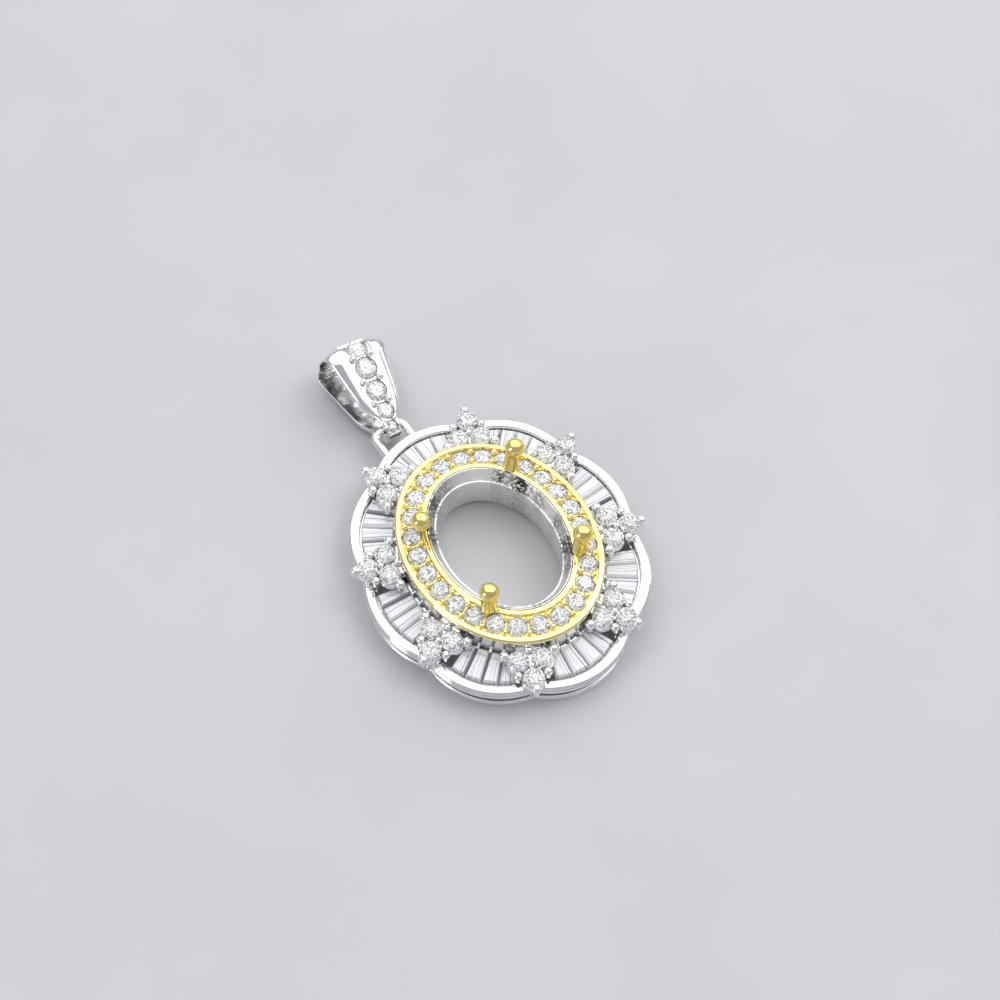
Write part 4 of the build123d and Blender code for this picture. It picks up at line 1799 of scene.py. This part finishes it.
@dataclass
class WireLoop:
    """Wire loop soldered to the top petal, which the bail hangs on."""

    centre: float = -0.51
    inner_width: float = 1.46
    wire: float = 0.53
    bar: float = 10.60
    height: float = 1.15
    corner: float = 0.50
    corner_steps: int = 8
    root: float = 8.95

    def path(self) -> list[Vector]:
        """Points along the wire.

        Returns:
            The points.
        """
        half = (self.inner_width + self.wire) / 2
        left, right = self.centre - half, self.centre + half
        points = [Vector((left, self.root, self.height))]
        for side, start in ((left, pi), (right, pi / 2)):
            inner = side + self.corner if side == left else side - self.corner
            for i in range(self.corner_steps + 1):
                turn = start - pi / 2 * i / self.corner_steps
                points.append(Vector((inner + self.corner * cos(turn),
                                      self.bar - self.corner + self.corner * sin(turn), self.height)))
        points.append(Vector((right, self.root, self.height)))
        return points

    def build(self) -> None:
        """Make the wire."""
        mesh = DRAWER.wire("bail_wire", self.path(), self.wire / 2, WHITE_POLISH)
        dressed(mesh, [WHITE_POLISH], Body.SETTING, ["frame"])


@dataclass
class Bail:
    """Tapered bail: a band round three circles, with sloping flanks and five stones down its front."""

    centre: float = -0.40
    bar: float = 10.60
    height: float = 1.15
    yaw: float = -4.6
    roll: float = 9.5
    band: float = 0.45
    circles: Triples = ((0.0, 0.0, 0.85), (4.05, 1.35, 1.20), (4.60, 0.25, 1.10))
    widths: Rows = ((-1.30, 0.70), (-0.60, 0.78), (-0.10, 0.80), (0.15, 0.88), (0.50, 1.60), (1.00, 2.30),
                    (1.70, 2.75), (3.10, 3.30), (4.60, 3.75), (5.40, 3.75), (5.90, 3.20))
    panel_widths: Rows = ((-1.30, 0.30), (-0.45, 0.60), (0.10, 0.64), (0.60, 1.15), (1.20, 1.45),
                          (2.00, 1.54), (5.90, 1.60))
    rim: float = 0.12
    flank_drop: float = 0.32
    full_flank: float = 0.80
    flank_bulge: float = 0.30
    arc_steps: int = 36
    least_steps: int = 12
    straight_steps: int = 40
    panel_depth: float = 0.08
    panel_margin: float = 0.10
    panel_points: int = 6
    sizes: tuple[float, ...] = (0.66, 1.08, 1.32, 1.38, 1.32)
    stone_gap: float = 0.08
    first: float = -0.41
    bead: float = 0.44
    bead_spread: float = 0.84
    bead_lift: float = 0.05
    full_bead_from: float = 1.05

    def location(self) -> Matrix:
        """Where the bail lies at rest."""
        return (Matrix.Translation((self.centre, self.bar, self.height))
                @ Matrix.Rotation(radians(self.yaw), 4, "Z") @ Matrix.Rotation(radians(self.roll), 4, "Y"))

    def normals(self) -> list[float]:
        """Outward angle of each straight side: front, far end and back.

        Returns:
            The angles in radians, from the bail's own Y towards its Z.
        """
        angles = []
        for i, (y0, z0, r0) in enumerate(self.circles):
            y1, z1, r1 = self.circles[(i + 1) % 3]
            angles.append(atan2(z1 - z0, y1 - y0) + acos((r0 - r1) / hypot(y1 - y0, z1 - z0)))
        return angles

    def width_at(self, rows: Rows, along: float) -> float:
        """Width at a distance from the bar, eased between the given rows.

        Args:
            rows: Distances from the bar and the widths there.
            along: The distance.

        Returns:
            The width.
        """
        along = min(max(along, rows[0][0]), rows[-1][0])
        rates = [0.0] + [(c[1] - a[1]) / (c[0] - a[0]) for a, c in zip(rows, rows[2:])] + [0.0]
        index = next(i for i in range(len(rows) - 1) if along <= rows[i + 1][0])
        (y0, w0), (y1, w1) = rows[index], rows[index + 1]
        span = y1 - y0
        share = (along - y0) / span
        t2, t3 = share**2, share**3
        return ((2 * t3 - 3 * t2 + 1) * w0 + (t3 - 2 * t2 + share) * span * rates[index]
                + (3 * t2 - 2 * t3) * w1 + (t3 - t2) * span * rates[index + 1])

    def trail(self) -> list[tuple[float, float, float]]:
        """Points round the band: along, up and outward angle, from the foot over the front.

        Returns:
            The points.
        """
        normals = self.normals()
        points = []
        for i, (y, z, radius) in enumerate(self.circles):
            start, end = normals[i - 1], normals[i]
            while end > start:
                end -= 2 * pi
            arc = start - end
            steps = max(self.least_steps, int(arc * self.arc_steps))
            for k in range(steps + 1):
                turn = start - arc * k / steps
                points.append((y + radius * cos(turn), z + radius * sin(turn), turn))
            y1, z1, r1 = self.circles[(i + 1) % 3]
            head = (y1 + r1 * cos(end), z1 + r1 * sin(end))
            tail = points[-1]
            for k in range(1, self.straight_steps):
                share = k / self.straight_steps
                points.append((tail[0] + (head[0] - tail[0]) * share,
                               tail[1] + (head[1] - tail[1]) * share, end))
        return points

    def section(self, along: float, recess: float) -> Profile:
        """Across and depth of the band's section at a distance from the bar.

        Args:
            along: The distance from the bar.
            recess: Depth of the panel there.

        Returns:
            The outline, which ends with the panel's points.
        """
        panel = self.width_at(self.panel_widths, along) / 2
        rim = panel + self.rim
        half = max(self.width_at(self.widths, along) / 2, rim + 0.02)
        drop = self.flank_drop * min((half - rim) / self.full_flank, 1.0)
        ease, rim_ease = min(0.12, (half - rim) * 0.2), min(0.04, self.rim * 0.4)
        bulge = ((rim + half) / 2, self.flank_bulge * drop)
        outline = rounded((
            (rim, 0.0, rim_ease), (*bulge, ease), (half, drop, ease), (half, self.band, 0.03),
            (-half, self.band, 0.03), (-half, drop, ease), (-bulge[0], bulge[1], ease), (-rim, 0.0, rim_ease),
        ))
        floor = [(across, recess) for across in (-panel, -panel * 0.5, panel * 0.5, panel)]
        return outline + [(-panel - 0.02, 0.0), *floor, (panel + 0.02, 0.0)]

    def band_mesh(self) -> bpy.types.Mesh:
        """Band with its panel and the stones' spaces cut out, standing at the bar.

        Returns:
            The mesh.
        """
        rings, recessed = [], []
        start, end = self.panel_ends()
        for y, z, turn in self.trail():
            length = self.front_length(y, z, turn)
            recess = self.panel_depth if length is not None and start <= length <= end else 0.0
            recessed.append(recess > 0)
            outward = Vector((0, cos(turn), sin(turn)))
            rings.append([Vector((x, y, z)) - outward * depth for x, depth in self.section(y, recess)])
        band = Draft().skin(rings, closed=True)
        sides, strips = len(rings[0]), self.panel_points - 1
        # Strips of the panel's floor take the second finish, the darker white copy: painted shade in the
        # recess.
        for i, deep in enumerate(recessed):
            if deep and recessed[(i + 1) % len(rings)]:
                last = (i + 1) * sides - 1
                band.slots[last - strips:last] = [1] * strips
        rooms = Draft()
        for size, place in self.stones():
            rooms.take(ROOM.draft(size), place)
        return seated(band.mesh("bail_band"), rooms, (WHITE_POLISH, WHITE_PAINTED_SHADE))

    def foot_point(self) -> tuple[float, float]:
        """Where the front leaves the foot's circle.

        Returns:
            The point: along and up.
        """
        turn = self.normals()[0]
        y, z, radius = self.circles[0]
        return y + radius * cos(turn), z + radius * sin(turn)

    def straight(self) -> float:
        """Length of the straight front."""
        (y0, z0, r0), (y1, z1, r1) = self.circles[:2]
        return (hypot(y1 - y0, z1 - z0) ** 2 - (r1 - r0) ** 2) ** 0.5

    def front_length(self, y: float, z: float, turn: float) -> float | None:
        """Length along the front of a point of the trail, negative on the foot, or None off the front.

        Args:
            y: How far along the point is.
            z: How far up it is.
            turn: Its outward angle.

        Returns:
            The length, or None.
        """
        (y0, z0, r0), (y1, z1, r1) = self.circles[:2]
        past = (turn - self.normals()[0] + pi) % (2 * pi) - pi
        if abs(past) < 1e-6:
            foot = self.foot_point()
            return hypot(y - foot[0], z - foot[1])
        if past > 0:
            return -past * r0 if abs(hypot(y - y0, z - z0) - r0) < 1e-6 else None
        return self.straight() - past * r1 if abs(hypot(y - y1, z - z1) - r1) < 1e-6 else None

    def front_place(self, length: float, lift: float, aside: float = 0.0) -> Matrix:
        """Place on the front at a length from the foot's end, negative where it rounds the foot.

        Args:
            length: The length.
            lift: Height over the front.
            aside: Distance to the right of its middle.

        Returns:
            The place, its Z outward.
        """
        normal, straight = self.normals()[0], self.straight()
        (y0, z0, r0), (y1, z1, r1) = self.circles[:2]
        if length < 0:
            turn = normal - length / r0
            y, z = y0 + r0 * cos(turn), z0 + r0 * sin(turn)
        elif length <= straight:
            turn = normal
            y, z = self.foot_point()
            y, z = y + length * sin(turn), z - length * cos(turn)
        else:
            turn = normal - (length - straight) / r1
            y, z = y1 + r1 * cos(turn), z1 + r1 * sin(turn)
        outward = Vector((0, cos(turn), sin(turn)))
        return leaning(Vector((aside, y, z)) + outward * lift, outward, Vector((1, 0, 0)))

    def panel_ends(self) -> tuple[float, float]:
        """Lengths along the front where the panel starts and ends."""
        size, length = self.stone_lengths()[-1]
        return self.first - self.panel_margin, length + size / 2 + self.panel_margin

    def stone_lengths(self) -> list[tuple[float, float]]:
        """Size and length along the front of each stone.

        Returns:
            The sizes and lengths, from the foot.
        """
        rows, length = [], self.first
        for size in self.sizes:
            length += size / 2
            rows.append((size, length))
            length += size / 2 + self.stone_gap
        return rows

    def stones(self) -> list[tuple[float, Matrix]]:
        """Size and place of each stone on the front.

        Returns:
            The sizes and places.
        """
        share = (BRILLIANT.girdle + BRILLIANT.crown) / 2
        return [(size, self.front_place(length, -self.panel_depth - share * size))
                for size, length in self.stone_lengths()]

    def bead_places(self) -> Places:
        """Places of the bead pairs between the stones.

        Returns:
            The places, each with its share of the full size.
        """
        rows = self.stone_lengths()
        places = []
        for (size, length), (next_size, next_length) in zip(rows, rows[1:]):
            middle = (length + size / 2 + next_length - next_size / 2) / 2
            smaller = min(size, next_size)
            aside = smaller / 2 * self.bead_spread
            share = min(smaller / self.full_bead_from, 1.0)
            for side in (-1, 1):
                places.append((self.front_place(middle, self.bead_lift * share, side * aside), share))
        return places

    def build(self) -> None:
        """Make the band, beads and stones."""
        location = self.location()
        metric = location.copy()
        metric.translation *= METRES
        band = self.band_mesh()
        band.transform(metric)
        dressed(band, [WHITE_POLISH, WHITE_PAINTED_SHADE], Body.BAIL, ["bail"])
        bead = stemmed_bead("bead", 0.6, 0.3, 10, 18)
        places = [(location @ place, share) for place, share in self.bead_places()]
        mesh = REPEATER.copies("bail_beads", bead, places, WHITE_BEAD, self.bead)
        dressed(mesh, [WHITE_BEAD], Body.BAIL, ["bail"])
        stones = [(location @ place, size) for size, place in self.stones()]
        mesh = REPEATER.copies("bail_brilliants", BRILLIANT.mesh("brilliant"), stones, ROUND_STONE)
        dressed(mesh, [ROUND_STONE], Body.BAIL, [f"bail_stone_{i}" for i in range(1, 6)])


@dataclass(frozen=True)
class Lamp:
    """Soft square light: its name, its spot and side in metres, its power in watts and its colour."""

    name: str
    spot: tuple[float, float, float]
    size: float
    power: float
    colour: Colour = WHITE


@dataclass
class Studio:
    """Pale floor, soft light and the camera."""

    lamps: tuple[Lamp, ...] = (
        Lamp("window", (0.14, 0.18, 0.40), 0.92, 3.0),
        Lamp("right_card", (0.30, -0.12, 0.36), 0.26, 0.5, (1.0, 0.99, 0.97)),
        Lamp("low_card", (0.36, -0.03, 0.11), 0.12, 0.05),
        Lamp("left_card", (-0.40, 0.02, 0.16), 0.12, 0.3, (0.96, 0.98, 1.0)),
    )
    surroundings: float = 0.46
    sky: Colour = (0.9, 0.93, 1.0)
    floor_size: float = 0.6
    target: Vector = field(default_factory=lambda: Vector((1.690, 2.296, 2.5)))
    away: Vector = field(default_factory=lambda: Vector((-0.2755, -0.3864, 0.8802)))
    distance: float = 124.29
    lens: float = 79.2

    def lay_floor(self) -> None:
        """Make the floor."""
        half = self.floor_size / 2
        work = bmesh.new()
        bmesh.ops.create_grid(work, x_segments=12, y_segments=12, size=half)
        mesh = bpy.data.meshes.new("floor")
        work.to_mesh(mesh)
        work.free()
        mesh.materials.append(WARDROBE.get(BOARD))
        loose(mesh)

    def set_light(self, lamp: Lamp) -> None:
        """Hang a light that faces the pendant.

        Args:
            lamp: The light.
        """
        data = bpy.data.lights.new(lamp.name, "AREA")
        data.shape, data.size, data.energy, data.color = "SQUARE", lamp.size, lamp.power, lamp.colour
        light = bpy.data.objects.new(lamp.name, data)
        light.location = lamp.spot
        light.rotation_euler = (-Vector(lamp.spot)).to_track_quat("-Z", "Y").to_euler()
        bpy.context.scene.collection.objects.link(light)

    def set_world(self) -> None:
        """Fill the surroundings with even light."""
        world = bpy.data.worlds.new("studio")
        world.use_nodes = True
        background = world.node_tree.nodes["Background"]
        background.inputs["Color"].default_value = (*self.sky, 1.0)
        background.inputs["Strength"].default_value = self.surroundings
        bpy.context.scene.world = world

    def set_camera(self) -> None:
        """Set the camera at the photo's angle."""
        data = bpy.data.cameras.new("camera")
        data.lens = self.lens
        data.clip_start, data.clip_end = 0.005, 5.0
        camera = bpy.data.objects.new("camera", data)
        camera.location = (self.target + self.away * self.distance) * METRES
        camera.rotation_euler = (-self.away).to_track_quat("-Z", "Y").to_euler()
        bpy.context.scene.collection.objects.link(camera)
        bpy.context.scene.camera = camera

    def build(self) -> None:
        """Make the whole studio."""
        self.lay_floor()
        self.set_world()
        for lamp in self.lamps:
            self.set_light(lamp)
        self.set_camera()
        bpy.context.scene.view_settings.view_transform = "Standard"


def main() -> None:
    """Build the pendant and its studio, in order."""
    logging.basicConfig(level=logging.INFO, format="%(name)s: %(message)s")
    line = StoneLine()
    halo = Halo(line)
    builders: tuple[tuple[str, Callable[[], None]], ...] = (
        ("petal border", PetalBorder().build),
        ("gallery", lambda: Gallery().build(line)),
        ("trefoils", Trefoils().build),
        ("baguettes", Baguettes().build),
        ("halo", halo.build),
        ("seat collet", lambda: SeatCollet().build(halo)),
        ("wire loop", WireLoop().build),
        ("bail", Bail().build),
        ("studio", Studio().build),
    )
    known = set(bpy.context.scene.objects.keys())
    for name, build in builders:
        build()
        made = [piece.name for piece in bpy.context.scene.objects if piece.name not in known]
        known.update(made)
        LOG.info("%s: %s", name, ", ".join(made))


if __name__ == "__main__":
    main()
